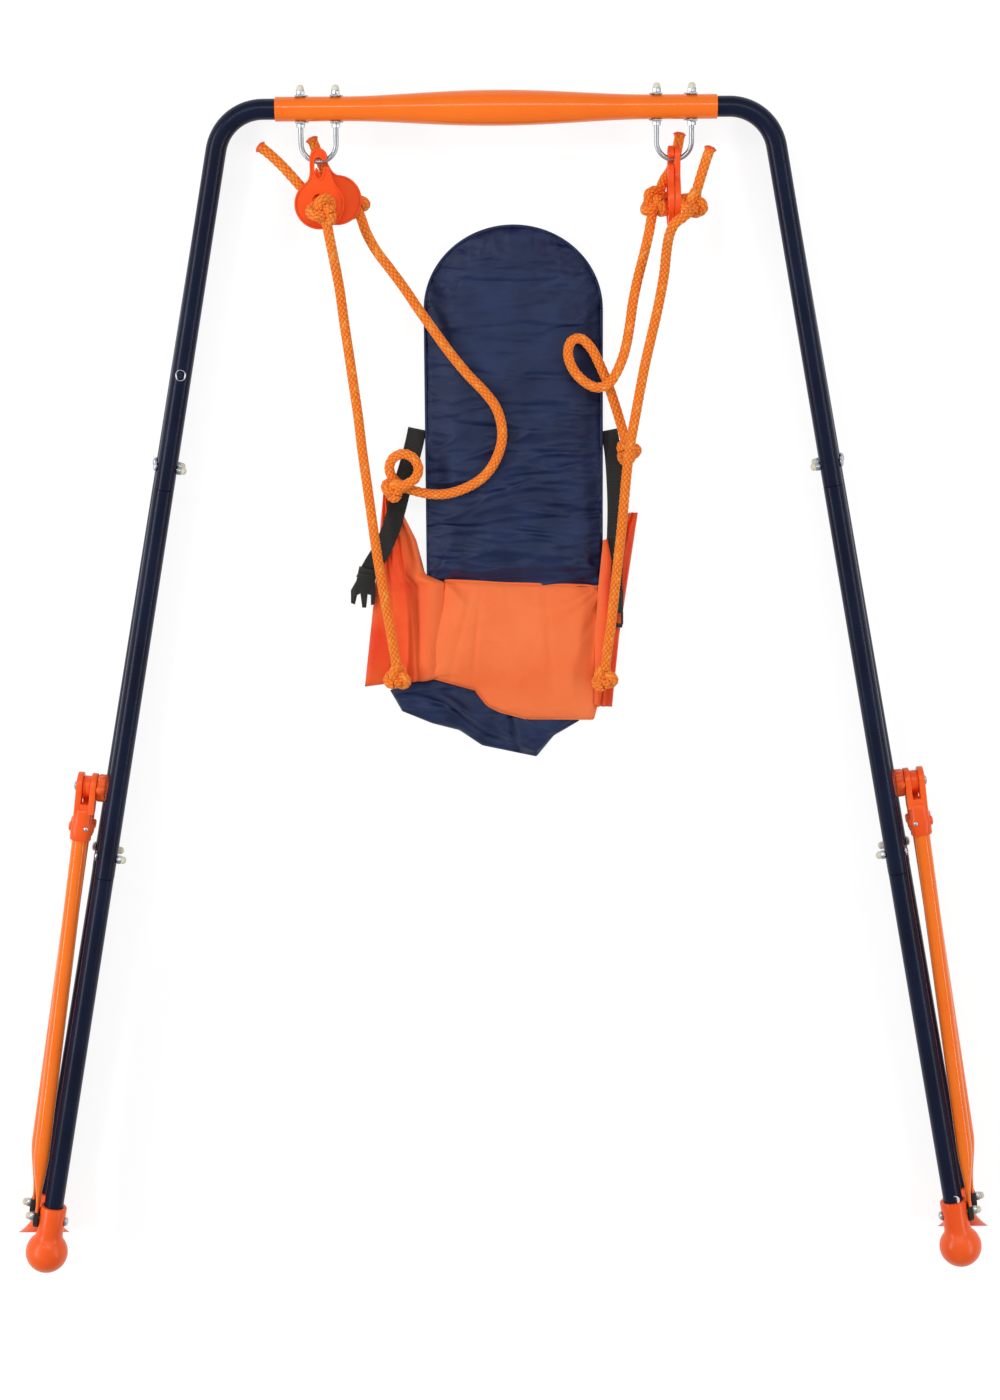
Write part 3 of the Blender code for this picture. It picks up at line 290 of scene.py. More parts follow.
def wrap(places, outline, sides, strands=1, picks=1, bm=None):
    """Wraps a fine grid into a tube: outline(i, angle) gives a ring point's two offsets."""
    bm = bmesh.new() if bm is None else bm
    rows = len(places) - 1
    verts, faces = gridded(bm, sides, rows, strands, picks)
    for v in verts:
        i = round((v.co.y + 1) / 2 * rows)
        a, b = outline(i, pi * (v.co.x + 1))
        v.co = places[i] @ Vector((a, b, 0))
    bmesh.ops.remove_doubles(bm, verts=verts, dist=1e-6)
    open_edges = [e for f in faces if f.is_valid for e in f.edges if e.is_boundary]
    bmesh.ops.holes_fill(bm, edges=list(set(open_edges)))
    bmesh.ops.recalc_face_normals(bm, faces=bm.faces)
    return bm


def meshed(name, bm):
    mesh = bpy.data.meshes.new(name)
    bm.to_mesh(mesh)
    bm.free()
    return mesh


slot_of = {}


def place(name, bm, finishes, body, stands_for=(), sharp=35):
    """Lays a finished mesh down with the swing, and says what carries it and what it replaces."""
    bmesh.ops.transform(bm, matrix=LIE, verts=bm.verts)
    mesh = meshed(name, bm)
    for material in finishes:
        mesh.materials.append(material)
    mesh.shade_smooth()
    mesh.set_sharp_from_angle(angle=radians(sharp))
    thing = add(name, mesh)
    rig.ride(thing, body)
    if stands_for:
        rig.replaces(thing, *stands_for)
    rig.slot(thing, slot_of[finishes[0].name])
    return thing


def ink(colour):
    """A colour as a shader takes it, from the 0 to 255 that it is seen as."""
    shares = [c / 255 for c in colour]
    return (*(s / 12.92 if s < 0.0405 else ((s + 0.055) / 1.055) ** 2.4 for s in shares), 1)


def give(tree, socket, value):
    """Sets a socket to a number, or links another node's socket to it."""
    if isinstance(value, bpy.types.NodeSocket):
        tree.links.new(value, socket)
    elif value is not None:
        socket.default_value = value


def feed(tree, kind, *values, **settings):
    """A node in a tree with its settings, and its inputs in their order."""
    node = tree.nodes.new(kind)
    for key, value in settings.items():
        setattr(node, key, value)
    for socket, value in zip(node.inputs, values):
        give(tree, socket, value)
    return node


def maths(tree, operation, *values):
    return feed(tree, "ShaderNodeMath", *values, operation=operation).outputs[0]


def clouds(tree, spot, scale, detail):
    """Soft noise at a spot, whose size and detail are given."""
    node = feed(tree, "ShaderNodeTexNoise", spot)
    give(tree, node.inputs["Scale"], scale)
    give(tree, node.inputs["Detail"], detail)
    return node


def object_spot(tree):
    return tree.nodes.new("ShaderNodeTexCoord").outputs["Object"]


def cloth_spot(tree):
    return tree.nodes.new("ShaderNodeUVMap").outputs[0]


def effect(name, inputs, outputs):
    """An empty node group with named inputs, a vector where no number is given, and outputs."""
    tree = bpy.data.node_groups.new(name, "ShaderNodeTree")
    for label, value in inputs:
        kind = "NodeSocketVector" if value is None else "NodeSocketFloat"
        socket = tree.interface.new_socket(name=label, in_out="INPUT", socket_type=kind)
        if value is not None:
            socket.default_value = value
    for label in outputs:
        tree.interface.new_socket(name=label, in_out="OUTPUT", socket_type="NodeSocketFloat")
    ends = (tree.nodes.new("NodeGroupInput").outputs, tree.nodes.new("NodeGroupOutput").inputs)
    return tree, *ends


def use(tree, group, *values):
    return feed(tree, "ShaderNodeGroup", *values, node_tree=group).outputs


def spread(tree, value, low, high, first=0.0, last=1.0):
    return feed(tree, "ShaderNodeMapRange", value, low, high, first, last).outputs[0]


def blended(tree, share, first, second):
    """A colour between two, each a seen colour or another node's socket."""
    mix = feed(tree, "ShaderNodeMix", share, data_type="RGBA")
    for label, colour in (("A", first), ("B", second)):
        typed = isinstance(colour, tuple)
        give(tree, mix.inputs[label], ink(colour) if typed else colour)
    return mix.outputs["Result"]


def finish(name, slot, colour, roughness, **sockets):
    """A new material with plain shader sockets, and the tree and shader to add detail to."""
    material = bpy.data.materials.new(name)
    material.use_nodes = True
    material.diffuse_color = ink(colour)
    slot_of[material.name] = slot
    tree = material.node_tree
    shader = tree.nodes["Principled BSDF"]
    shader.inputs["Base Color"].default_value = ink(colour)
    shader.inputs["Roughness"].default_value = roughness
    for socket, value in sockets.items():
        shader.inputs[socket.replace("_", " ")].default_value = value
    return material, tree, shader


def colour_with(tree, shader, colour):
    tree.links.new(colour, shader.inputs["Base Color"])


def raise_surface(tree, shader, height, distance, strength=1.0):
    bump = feed(tree, "ShaderNodeBump", strength, distance)
    tree.links.new(height, bump.inputs["Height"])
    tree.links.new(bump.outputs["Normal"], shader.inputs["Normal"])


# how light, dust and handling vary over any surface: one broad and one fine pattern
uneven, given, put = effect("uneven", (("Broad", 9.0), ("Fine", 260.0)), ("Patches", "Grain"))
seen_at = object_spot(uneven)
for size, out, detail in (("Broad", "Patches", 3), ("Fine", "Grain", 2)):
    uneven.links.new(clouds(uneven, seen_at, given[size], detail).outputs["Fac"], put[out])
PATCHES, GRAIN = 0, 1


def coated(name, slot, colour, roughness, sizes, dark, light, tones=None,
           wear=None, worn=PATCHES, bump=0, bumpy=GRAIN, **sockets):
    """A finish whose colour, shine and surface vary a little, each with one of the patterns."""
    material, tree, shader = finish(name, slot, colour, roughness, **sockets)
    patterns = use(tree, uneven, *sizes)
    share = spread(tree, patterns[PATCHES], *tones) if tones else patterns[PATCHES]
    colour_with(tree, shader, blended(tree, share, dark, light))
    if wear:
        tree.links.new(spread(tree, patterns[worn], *wear), shader.inputs["Roughness"])
    if bump:
        raise_surface(tree, shader, patterns[bumpy], bump)
    return material


# the braid: two sets of strands that go over and under each other
braid, given, put = effect("braid", (("Along", None),), ("Height", "Strand"))


def woven(operation, *values):
    return maths(braid, operation, *values)


split = feed(braid, "ShaderNodeSeparateXYZ", given["Along"]).outputs
lines = woven("ADD", split[0], split[1]), woven("SUBTRACT", split[0], split[1])
cells = [woven("FLOOR", line) for line in lines]
over = woven("FLOORED_MODULO", woven("ADD", *cells), 2.0)
parts = [woven("SINE", woven("MULTIPLY", woven("FRACT", line), pi)) for line in lines]
wide = feed(braid, "ShaderNodeMix", over, None, parts[0], parts[1]).outputs[0]
long = feed(braid, "ShaderNodeMix", over, None, parts[1], parts[0]).outputs[0]
crown = woven("MULTIPLY", woven("POWER", wide, 0.8), woven("POWER", long, 0.4))
braid.links.new(crown, put["Height"])
pick = feed(braid, "ShaderNodeTexWhiteNoise", None, noise_dimensions="3D")
cell = feed(braid, "ShaderNodeCombineXYZ", *cells, over)
braid.links.new(cell.outputs[0], pick.inputs["Vector"])
braid.links.new(pick.outputs["Value"], put["Strand"])

rope_yarn, tree, shader = finish("orange rope", "rope", (255, 132, 36), 0.62,
                                 Sheen_Weight=0.15, Specular_IOR_Level=0.2)
height, strand = use(tree, braid, cloth_spot(tree))
grain = use(tree, uneven, 60.0, 900.0)[GRAIN]
# painted shade: the yarn's colour darkens in the braid's grooves between the strands and is lightest on their crowns,
# with a little random grain
fuzz = maths(tree, "ADD", 0.75, maths(tree, "MULTIPLY", grain, 0.4))
lit = spread(tree, maths(tree, "MULTIPLY", height, fuzz), 0.05, 0.62)
yarn = blended(tree, lit, (246, 88, 10), (255, 144, 42))
yellow = spread(tree, strand, 0.90, 0.94)
colour_with(tree, shader, blended(tree, yellow, yarn, (255, 160, 64)))
raise_surface(tree, shader, maths(tree, "MULTIPLY_ADD", grain, 0.22, height), 0.0009)

melted = coated("melted rope end", "rope", (250, 88, 38), 0.35, (240.0, 700.0), (240, 70, 26),
                (255, 108, 50), bump=0.0012, bumpy=PATCHES, Coat_Weight=0.1, Specular_IOR_Level=0.3)


def braided(line, melted_end=False):
    """A braided tube along a line, whose strands stand up in it, closed at both ends."""
    picks, last = span_of(line) / PICK, len(line) - 1

    def strands(i, angle):
        u, v = angle / 2 / pi * STRANDS, picks * i / last
        p, q = u + v, u - v
        a, b = sin(pi * (p - floor(p))), sin(pi * (q - floor(q)))
        if (floor(p) + floor(q)) % 2:
            a, b = b, a
        r = ROPE / 2 - GROOVE + CROWN * max(a, 0) ** 0.8 * max(b, 0) ** 0.4
        if melted_end and last - i < len(LIP):
            r = LIP[last - i] + 0.0004 * sin(3 * angle + i)
        return r * cos(angle), r * sin(angle)

    bm = wrap(rings_along(line), strands, 30, STRANDS, picks)
    if melted_end:
        for face in bm.faces:
            if (face.calc_center_median() - line[-1]).length < LIP_LONG:
                face.material_index = 1
    return bm


def braid_piece(name, points, stands_for=(), sharp=180, melted_end=False):
    """A piece of braided rope through points, and the line that it follows."""
    line = drawn(points, ROPE_STEP)
    bm = braided(line, melted_end)
    return place(name, bm, [rope_yarn, melted], "seat", stands_for, sharp), line


def knot(name, centre, facing, turn, size):
    """An overhand knot pulled up snug: a closed trefoil that faces along a direction."""
    lean = Vector(facing).to_track_quat("Z", "Y").to_matrix().to_4x4()
    lean = lean @ Matrix.Rotation(radians(turn), 4, "Z")
    lean.translation = from_bar([centre])[0]
    loop = []
    for k in range(73):
        t = 2 * pi * (k / 72 + 0.25)
        bow = Vector((sin(t) + 2 * sin(2 * t), cos(t) - 2 * cos(2 * t), 0)) * KNOT_WIDE * size
        loop.append(lean @ (bow + Z * (-KNOT_DEEP * sin(3 * t) * size)))
    return braid_piece(name, loop)[0]


def rope(which, points, seat_knot, hook_knot, tail):
    """A rope, its knots, each a centre, a facing, a turn and a size, and its melted tail."""
    far_knot = knot(f"knot_{which}_seat", *seat_knot)
    near_knot = knot(f"knot_{which}_hook", *hook_knot)
    end = braid_piece(f"tail_{which}", from_bar(tail), sharp=60, melted_end=True)[0]
    thing, line = braid_piece(f"rope_{which}_braid", from_bar(points), [f"rope_{which}"])
    path = [LIE @ p for p in line]
    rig.cord(thing, exit=path[0], length=span_of(path), diameter=ROPE, far_end="knot",
            stiffness="limp", lay="loose", path=path, with_pieces=[near_knot, end, far_knot])


rope("left_front", (
    (-207.5, -118, 69), (-203.5, -135.5, 69), (-200.5, -153.5, 65.5), (-196, -181.5, 54),
    (-191, -215.5, 40), (-187, -253.5, 30), (-182, -293.5, 23), (-177, -333.5, 19),
    (-172, -373.5, 16), (-168, -413.5, 14), (-163, -453.5, 13), (-158, -493.5, 13),
    (-153, -533.5, 13), (-147, -573.5, 13), (-141, -611.5, 12), (-135, -648.5, 9),
    (-131, -676.5, 6), (-129.5, -693, 4),
), ((-128.5, -701, 4.5), (0.05, 0.1, 1), 20, 0.95), ((-208, -119, 73), (0, 0.12, 1), 95, 1.12), (
    (-218, -113, 56), (-229, -98.5, 51), (-242, -83, 53), (-257, -66, 58), (-271, -52.5, 61),
    (-284, -42, 64),
))
rope("left_rear", (
    (-169, -119, 30), (-164, -130, 30), (-158, -147.5, 30.5), (-146, -169.5, 30),
    (-130, -191.5, 25), (-113, -215.5, 19), (-96, -241.5, 14), (-78, -267.5, 10),
    (-58, -295.5, 8.5), (-37, -321.5, 7.3), (-17, -342.5, 7.3), (-3, -361.5, 7.3),
    (4, -383.5, 7.3), (4, -405.5, 7.3), (-4, -428.5, 7.3), (-18, -447.5, 7.3), (-38, -460.5, 7.3),
    (-62, -468.5, 7.3), (-84, -469, 8), (-102, -465.5, 7.5), (-118, -460, 6.5), (-130, -450, 7),
    (-135, -436.5, 10), (-130, -423.5, 14.5), (-117, -417.5, 18.5), (-104, -423.5, 20.5),
    (-98.5, -436.5, 21.5), (-104, -449, 22), (-116, -456, 21.5), (-127, -459.5, 19.5),
), ((-130, -462, 15), (0, 0, 1), 60, 0.8), ((-172.5, -113, 27), (0.25, -0.2, 1), 150, 1.05), (
    (-180, -107.5, 26.5), (-190, -101.5, 26.5), (-199, -91.5, 28), (-206, -76.5, 28.5),
    (-214.5, -54.5, 28.5), (-223, -33, 28.5),
))
rope("right_rear", (
    (190, -120, 37), (187, -130.5, 37), (184, -148.5, 36), (178, -175.5, 34), (171, -203.5, 31),
    (165, -233.5, 28), (161, -263.5, 25), (156, -290.5, 23.5), (148, -313.5, 22.5),
    (137, -331.5, 21), (122, -337.5, 17.5), (106, -330.5, 12.5), (93, -316.5, 9),
    (86.5, -298.5, 7.3), (90, -282.5, 7.3), (102, -278.5, 7.3), (115, -290.5, 7.3),
    (125, -309.5, 7.3), (134, -330.5, 7.3), (142, -353.5, 7.8), (149, -375.5, 7.2),
    (155, -396.5, 6.5), (157.5, -406, 5),
), ((160.5, -419, 3.5), (0.1, 0, 1), 10, 0.86), ((191, -114, 35), (-0.5, 0.1, 1), 40, 1.1), (
    (195, -106, 31), (202, -87.5, 27), (210, -75.5, 26.5), (216, -59.5, 27), (219.5, -42, 28),
    (221.5, -30, 28),
))
rope("right_front", (
    (230, -123, 79), (221.5, -129.5, 87), (211.5, -137.5, 86.5), (206, -151.5, 77),
    (203.5, -171.5, 63), (202, -193.5, 53), (199, -215.5, 46.5), (194, -243.5, 40),
    (187, -275.5, 36), (180, -307.5, 33), (174, -339.5, 31), (168, -373.5, 30), (162, -407.5, 29),
    (158, -441.5, 27), (155, -477.5, 23), (152, -513.5, 19), (148, -551.5, 16), (144, -589.5, 14),
    (140, -627.5, 14), (136, -657.5, 14), (133, -682.5, 13), (132, -691, 11.5),
), ((131, -703, 9.5), (0, 0.1, 1), 15, 0.92), ((234.5, -113, 67), (0.5, 0, 1), 70, 1.08), (
    (239, -100, 65.5), (243, -85.5, 67), (247, -72.5, 68), (251, -59.5, 69), (256, -46.5, 70),
))


# ---- Frame tubes ------------------------------------------------------------------------
# Each frame is 25 mm steel tube in six pieces: two bent corners, two middle legs and two lower
# legs, each pushed into the next by a swaged spigot. They are powder painted gloss navy.
SIDES = (("left", -1), ("right", 1))
TUBE, LOWER, WALL, BEND = 0.0125, 0.0122, 0.0012, 0.058
SPIGOT, SPIGOT_END = TUBE - WALL - 0.0003, 0.055
BEND_FROM, MARKS_APART = (0.170, 0.24), 0.0028
UPPER_JOINT, LOWER_JOINT, TUBE_FOOT = 0.988, 0.498, 0.0243
DEPTH = {"front": 0.050, "rear": 0.0}
SPLAY = {"front": radians(10.3), "rear": radians(10.6)}
HALF_TOP = {"front": 0.3272, "rear": 0.3312}
BODY = {"front": "front_frame", "rear": "rear_frame"}


def leg(which, side, height):
    """A leg's axis at a height, with the frame flat."""
    across = HALF_TOP[which] + (BAR - height) * tan(SPLAY[which])
    return Vector((side * across, height, DEPTH[which]))


def up(which, side):
    return (leg(which, side, 1) - leg(which, side, 0)).normalized()


def out(which, side):
    return up(which, side).cross(Z) * side


def tube(line, radius, sides, ends=()):
    """A round tube along a line; ends gives the radii of its last places."""
    radii = [radius] * (len(line) - len(ends)) + [*ends]
    return wrap(rings_along(line), lambda i, a: (radii[i] * cos(a), radii[i] * sin(a)), sides)


def sound(bm):
    """Joins the places that meet and turns every face outwards."""
    bmesh.ops.remove_doubles(bm, verts=bm.verts, dist=1e-6)
    bmesh.ops.recalc_face_normals(bm, faces=bm.faces)
    return bm


def turned(origin, axis, profile, steps=40, ends_meet=False):
    """A mesh turned round an axis from (distance along it, radius) pairs."""
    bm = bmesh.new()
    side = axis.orthogonal().normalized()
    points = [bm.verts.new(origin + axis * d + side * r) for d, r in profile]
    following = points[1:] + points[:1] if ends_meet else points[1:]
    edges = [bm.edges.new(pair) for pair in zip(points, following)]
    bmesh.ops.spin(bm, geom=points + edges, cent=origin, axis=axis, dvec=(0, 0, 0), angle=2 * pi,
                   steps=steps, use_merge=True, use_duplicate=False)
    return sound(bm)


navy_paint = coated("navy gloss paint", "navy_paint", (15, 22, 46), 0.30, (14.0, 420.0),
                    (12, 19, 42), (18, 26, 52), (0.35, 0.65), (0.2, 0.8, 0.26, 0.34), GRAIN,
                    0.00001, Specular_IOR_Level=0.18)

for which in ("front", "rear"):
    for label, side in SIDES:
        start = leg(which, side, BAR)
        turn = pi / 2 - SPLAY[which]
        hub = Vector((start.x - side * (BEND * tan(turn / 2)), BAR - BEND, DEPTH[which]))
        line = [Vector((side * x, BAR, DEPTH[which])) for x in BEND_FROM]
        line += [hub + Vector((side * sin(a), cos(a), 0)) * BEND
                 for a in (turn * k / 18 for k in range(19))]
        end, way = leg(which, side, UPPER_JOINT), up(which, side)
        line += [end + way * 0.0006, end + way * 0.0002, end]
        bm = tube(line, TUBE, 40, (TUBE - 0.0001, TUBE - 0.0005))
        name = f"{which}_bend_{label}"
        place(name + "_tube", bm, [navy_paint], BODY[which], [name])

        for part, top, low, radius in (("middle", UPPER_JOINT, LOWER_JOINT, TUBE),
                                       ("lower", LOWER_JOINT, TUBE_FOOT, LOWER)):
            foot = leg(which, side, low)
            span = (leg(which, side, top) - foot).length - 0.0003
            profile = [(0, 0), (0, radius - WALL), (0, radius - 0.0005), (0.0005, radius),
                       (span - 0.0006, radius), (span, radius - 0.0006), (span, SPIGOT),
                       (span + SPIGOT_END - 0.002, SPIGOT),
                       (span + SPIGOT_END, SPIGOT - 0.0015), (span + SPIGOT_END, 0)]
            name = f"{which}_{part}_tube_{label}"
            place(name + "_leg", turned(foot, way, profile), [navy_paint], BODY[which], [name])

for label, side in SIDES:
    for k in (-1, 1):
        mark = leg("front", side, LOWER_JOINT) - up("front", side) * 0.002
        mark += Z * (LOWER - 0.0002) + X * (MARKS_APART * k)
        bm = turned(mark, Z, [(0, 0.0011), (0.0004, 0.0008), (0.0006, 0)], 12)
        name = f"press_mark_{label}_{'in' if k * side < 0 else 'out'}"
        place(name, bm, [navy_paint], "front_frame")


# ---- Top bar sleeves --------------------------------------------------------------------
# An orange painted steel sleeve joins each frame's two corners. It swells in the middle and its
# ends are rolled in.
SLEEVE, BORE, BELLY, BELLY_HALF = 0.0147, 0.0128, 0.0066, 0.175
SLEEVE_END, ROLLED_IN = 0.264, 0.0004
orange_paint = coated("orange gloss paint", "orange_paint", (253, 120, 26), 0.20, (16.0, 380.0),
                      (253, 115, 24), (255, 124, 31), (0.3, 0.7), (0.2, 0.8, 0.16, 0.25), GRAIN,
                      0.00001, Coat_Weight=0.35, Coat_Roughness=0.04, Specular_IOR_Level=0.2)

for which in ("front", "rear"):
    swell = [(x * BELLY_HALF, SLEEVE + BELLY * (0.5 + 0.5 * cos(pi * x)) ** 0.8)
             for x in (k / 16 - 1 for k in range(33))]
    rolled = [(SLEEVE_END - ROLLED_IN, SLEEVE), (SLEEVE_END, SLEEVE - ROLLED_IN),
              (SLEEVE_END, BORE)]
    profile = [(-x, r) for x, r in rolled[::-1]] + swell + rolled
    bm = turned(Vector((0, BAR, DEPTH[which])), X, profile, 48, True)
    place(f"{which}_sleeve", bm, [orange_paint], BODY[which], [f"{which}_bar_sleeve"])


# ---- Feet -------------------------------------------------------------------------------
# Orange plastic mouldings pushed on the legs' ends and held by a cross bolt: balls on the front
# legs, trumpets with flat soles on the rear ones. A flat on each socket lets the brace turn.
FOOT_BOLT = 0.044
BALL, BALL_SOLE, BELL = 0.027, 0.0258, 0.033
SOCKET, SOCKET_TOP, SOCKET_FLAT, FLAT_BELOW = 0.0170, 0.063, 0.0155, 0.0146
OPEN_LEAN, SOLE_UP, NECK_UP = radians(22), 0.007, 0.030

orange_plastic = coated("orange moulded plastic", "orange_plastic", (250, 92, 24), 0.34,
                        (22.0, 650.0), (246, 84, 20), (254, 100, 30), (0.3, 0.7),
                        (0.25, 0.75, 0.28, 0.42), bump=0.00005,
                        Coat_Weight=0.1, Coat_Roughness=0.15, Specular_IOR_Level=0.3)


def flattened(bm, start, axis, outwards):
    """Cuts the socket's outer side flat beside the brace, from a little below the foot bolt."""
    for v in bm.verts:
        along, aside = (v.co - start).dot(axis), (v.co - start).dot(outwards)
        if along > FOOT_BOLT - FLAT_BELOW and aside > SOCKET_FLAT:
            v.co -= outwards * (aside - SOCKET_FLAT)


for label, side in SIDES:
    start, axis = leg("front", side, 0), up("front", side)
    meet = (BALL**2 - SOCKET**2) ** 0.5
    profile = [(-BALL * cos(a), BALL * sin(a)) for a in (pi * k / 30 for k in range(31))
               if a < pi / 2 or BALL * sin(a) > 0.0195]
    profile += [(meet - 0.0005, 0.0182), (meet + 0.0025, 0.0172), (meet + 0.006, SOCKET),
                (FOOT_BOLT - 0.015, SOCKET), (FOOT_BOLT - 0.0145, SOCKET),
                (SOCKET_TOP - 0.0012, SOCKET), (SOCKET_TOP - 0.0003, SOCKET - 0.0004),
                (SOCKET_TOP, SOCKET - 0.0012), (SOCKET_TOP, LOWER + 0.0004),
                (SOCKET_TOP - 0.004, LOWER + 0.0004), (SOCKET_TOP - 0.004, 0)]
    bm = turned(start, axis, profile, 56)
    ground = Vector((0, cos(OPEN_LEAN), sin(OPEN_LEAN)))
    for v in bm.verts:
        sunk = (v.co - start).dot(ground) + BALL_SOLE
        if sunk < 0:
            v.co -= ground * sunk
    flattened(bm, start, axis, out("front", side))
    place(f"front_ball_{label}", bm, [orange_plastic], "front_frame", [f"front_foot_{label}"], 40)

    start, axis, wide = leg("rear", side, 0), up("rear", side), out("rear", side)
    ground = Vector((0, cos(OPEN_LEAN), -sin(OPEN_LEAN)))
    sole, neck = leg("rear", side, SOLE_UP), start + axis * NECK_UP
    rings, sizes = [], []
    for k in range(19):
        share = 1 - k / 18
        u = (X * side * share + wide * (1 - share)).normalized()
        v = (X.cross(ground) * share + Z * (1 - share)).normalized()
        rings.append(stood(u, v, u.cross(v), sole * share + neck * (1 - share)))
        sizes.append(SOCKET + (BELL - SOCKET) * share**1.9)
    rings.insert(0, rings[0].copy())
    sizes[0:1] = [BELL - 0.0015, BELL]
    rings[1] = rings[1].copy()
    rings[1].translation += ground * 0.0012
    for height, size in ((SOCKET_TOP - 0.001, SOCKET), (SOCKET_TOP, SOCKET - 0.0010),
                         (SOCKET_TOP, LOWER + 0.0004)):
        rings.append(rings[-1].copy())
        rings[-1].translation = start + axis * height
        sizes.append(size)
    bm = wrap(rings, lambda i, a: (sizes[i] * cos(a), sizes[i] * sin(a)), 56)
    flattened(bm, start, axis, wide)
    place(f"rear_trumpet_{label}", bm, [orange_plastic], "rear_frame", [f"rear_foot_{label}"], 40)


# ---- Bolts ------------------------------------------------------------------------------
# M6 bolts with round heads outside and hexagon nuts inside hold every joint, and a soft cream
# cap is pushed on each thread's end. The steel is bright zinc plated.
SHANK, NUT_HALF, NUT_HIGH = 0.0030, 0.0058, 0.0050
BESIDE_LEG, ABOVE_JOINT, IN_SOCKET = 0.0128, 0.026, 0.0173
CAP_MIDDLE, CAP_HALF = 0.0195, 0.0032
zinc = coated("zinc plate", "zinc", (186, 192, 197), 0.34, (40.0, 1200.0), (168, 175, 181),
              (206, 211, 214), None, (0.2, 0.8, 0.28, 0.40), bump=0.000004, bumpy=PATCHES,
              Metallic=1.0)
cream = coated("cream soft plastic", "zinc", (222, 218, 196), 0.45, (120.0, 900.0),
               (208, 204, 182), (232, 229, 210), bump=0.00006,
               Subsurface_Weight=0.15, Subsurface_Scale=0.002)


def of_kind(geom, kind=bmesh.types.BMVert):
    return [g for g in geom if isinstance(g, kind)]


def drawn_out(bm, face, vec):
    """Draws a flat face out into a block, and gives the block's far faces."""
    new = bmesh.ops.extrude_face_region(bm, geom=[face])["geom"]
    bmesh.ops.translate(bm, vec=vec, verts=of_kind(new))
    return of_kind(new, bmesh.types.BMFace)


def nut(name, spot, axis, height, body):
    """A hexagon nut with chamfered corners, standing on its face along an axis."""
    bm = bmesh.new()
    turn = axis.to_track_quat("Z", "Y").to_matrix().to_4x4()
    turn.translation = spot
    bmesh.ops.create_circle(bm, cap_ends=True, segments=6, radius=NUT_HALF)
    drawn_out(bm, next(iter(bm.faces)), (0, 0, height))
    bmesh.ops.bevel(bm, geom=list(bm.edges), offset=0.0005, segments=2, profile=0.5,
                    affect="EDGES", material=-1)
    bmesh.ops.transform(bm, matrix=turn, verts=bm.verts)
    bmesh.ops.recalc_face_normals(bm, faces=bm.faces)
    place(name, bm, [zinc], body, sharp=40)


def cap(name, spot, axis, body):
    profile = mm(((0, 0), (0, 4.6), (2.4, 4.6), (4, 4.2), (5.4, 3), (6.1, 1.4), (6.2, 0)))
    place(name, turned(spot, axis, profile, 24), [cream], body, sharp=50)


def round_bolt(name, spot, way, head, end, body):
    """A pan head on a shank from head to end, both distances along way."""
    outwards, far = way if head > end else -way, abs(head - end)
    profile = mm(((4.2, 0), (4.1, 2.2), (3.4, 4.4), (2, 5.8), (0.6, 6.2), (0, 6)))
    profile += [(0, SHANK), (-far, SHANK), (-far, 0)]
    bm = turned(spot + way * head, outwards, profile, 28)
    place(name + "_head", bm, [zinc], body, [name], 45)


def nut_and_cap(name, spot, way, body):
    nut(name + "_nut", spot, way, NUT_HIGH, body)
    cap(name + "_cap", spot + way * NUT_HIGH, way, body)


for which in ("front", "rear"):
    for label, side in SIDES:
        way, body = out(which, side), BODY[which]
        for end, joint in (("upper", UPPER_JOINT), ("lower", LOWER_JOINT)):
            spot = leg(which, side, joint) + up(which, side) * ABOVE_JOINT
            name = f"{which}_{end}_bolt_{label}"
            round_bolt(name, spot, way, BESIDE_LEG, -BESIDE_LEG, body)
            nut_and_cap(name, spot - way * BESIDE_LEG, -way, body)
        spot = leg(which, side, FOOT_BOLT)
        name = f"{which}_foot_bolt_{label}"
        tip = CAP_MIDDLE + CAP_HALF + 0.0003
        round_bolt(name, spot, way, -IN_SOCKET, tip, body)
        nut_and_cap(name, spot + way * tip, way, body)


# ---- Hanger bolts and hinge straps ------------------------------------------------------
# A zinc plated U bolt goes up through the front bar on each side, with a nut under the bar and
# another above it. The upper nuts hold steel straps that go round the rear bar as its hinge.
HANG, HALF, ROD, HANG_DROP = 0.2127, 0.021, 0.0031, 0.041
BESIDE_BAR, OVER_NUT, ABOVE_BAR = 0.0169, 0.0055, 0.0250
STRAP_HALF, STRAP_RUN = 0.0065, 0.059
STRAP_BEND = SLEEVE + 0.0011


def walled(thing, thickness, offset):
    """Gives a flat piece its thickness."""
    wall = thing.modifiers.new("wall", "SOLIDIFY")
    wall.thickness, wall.offset = thickness, offset


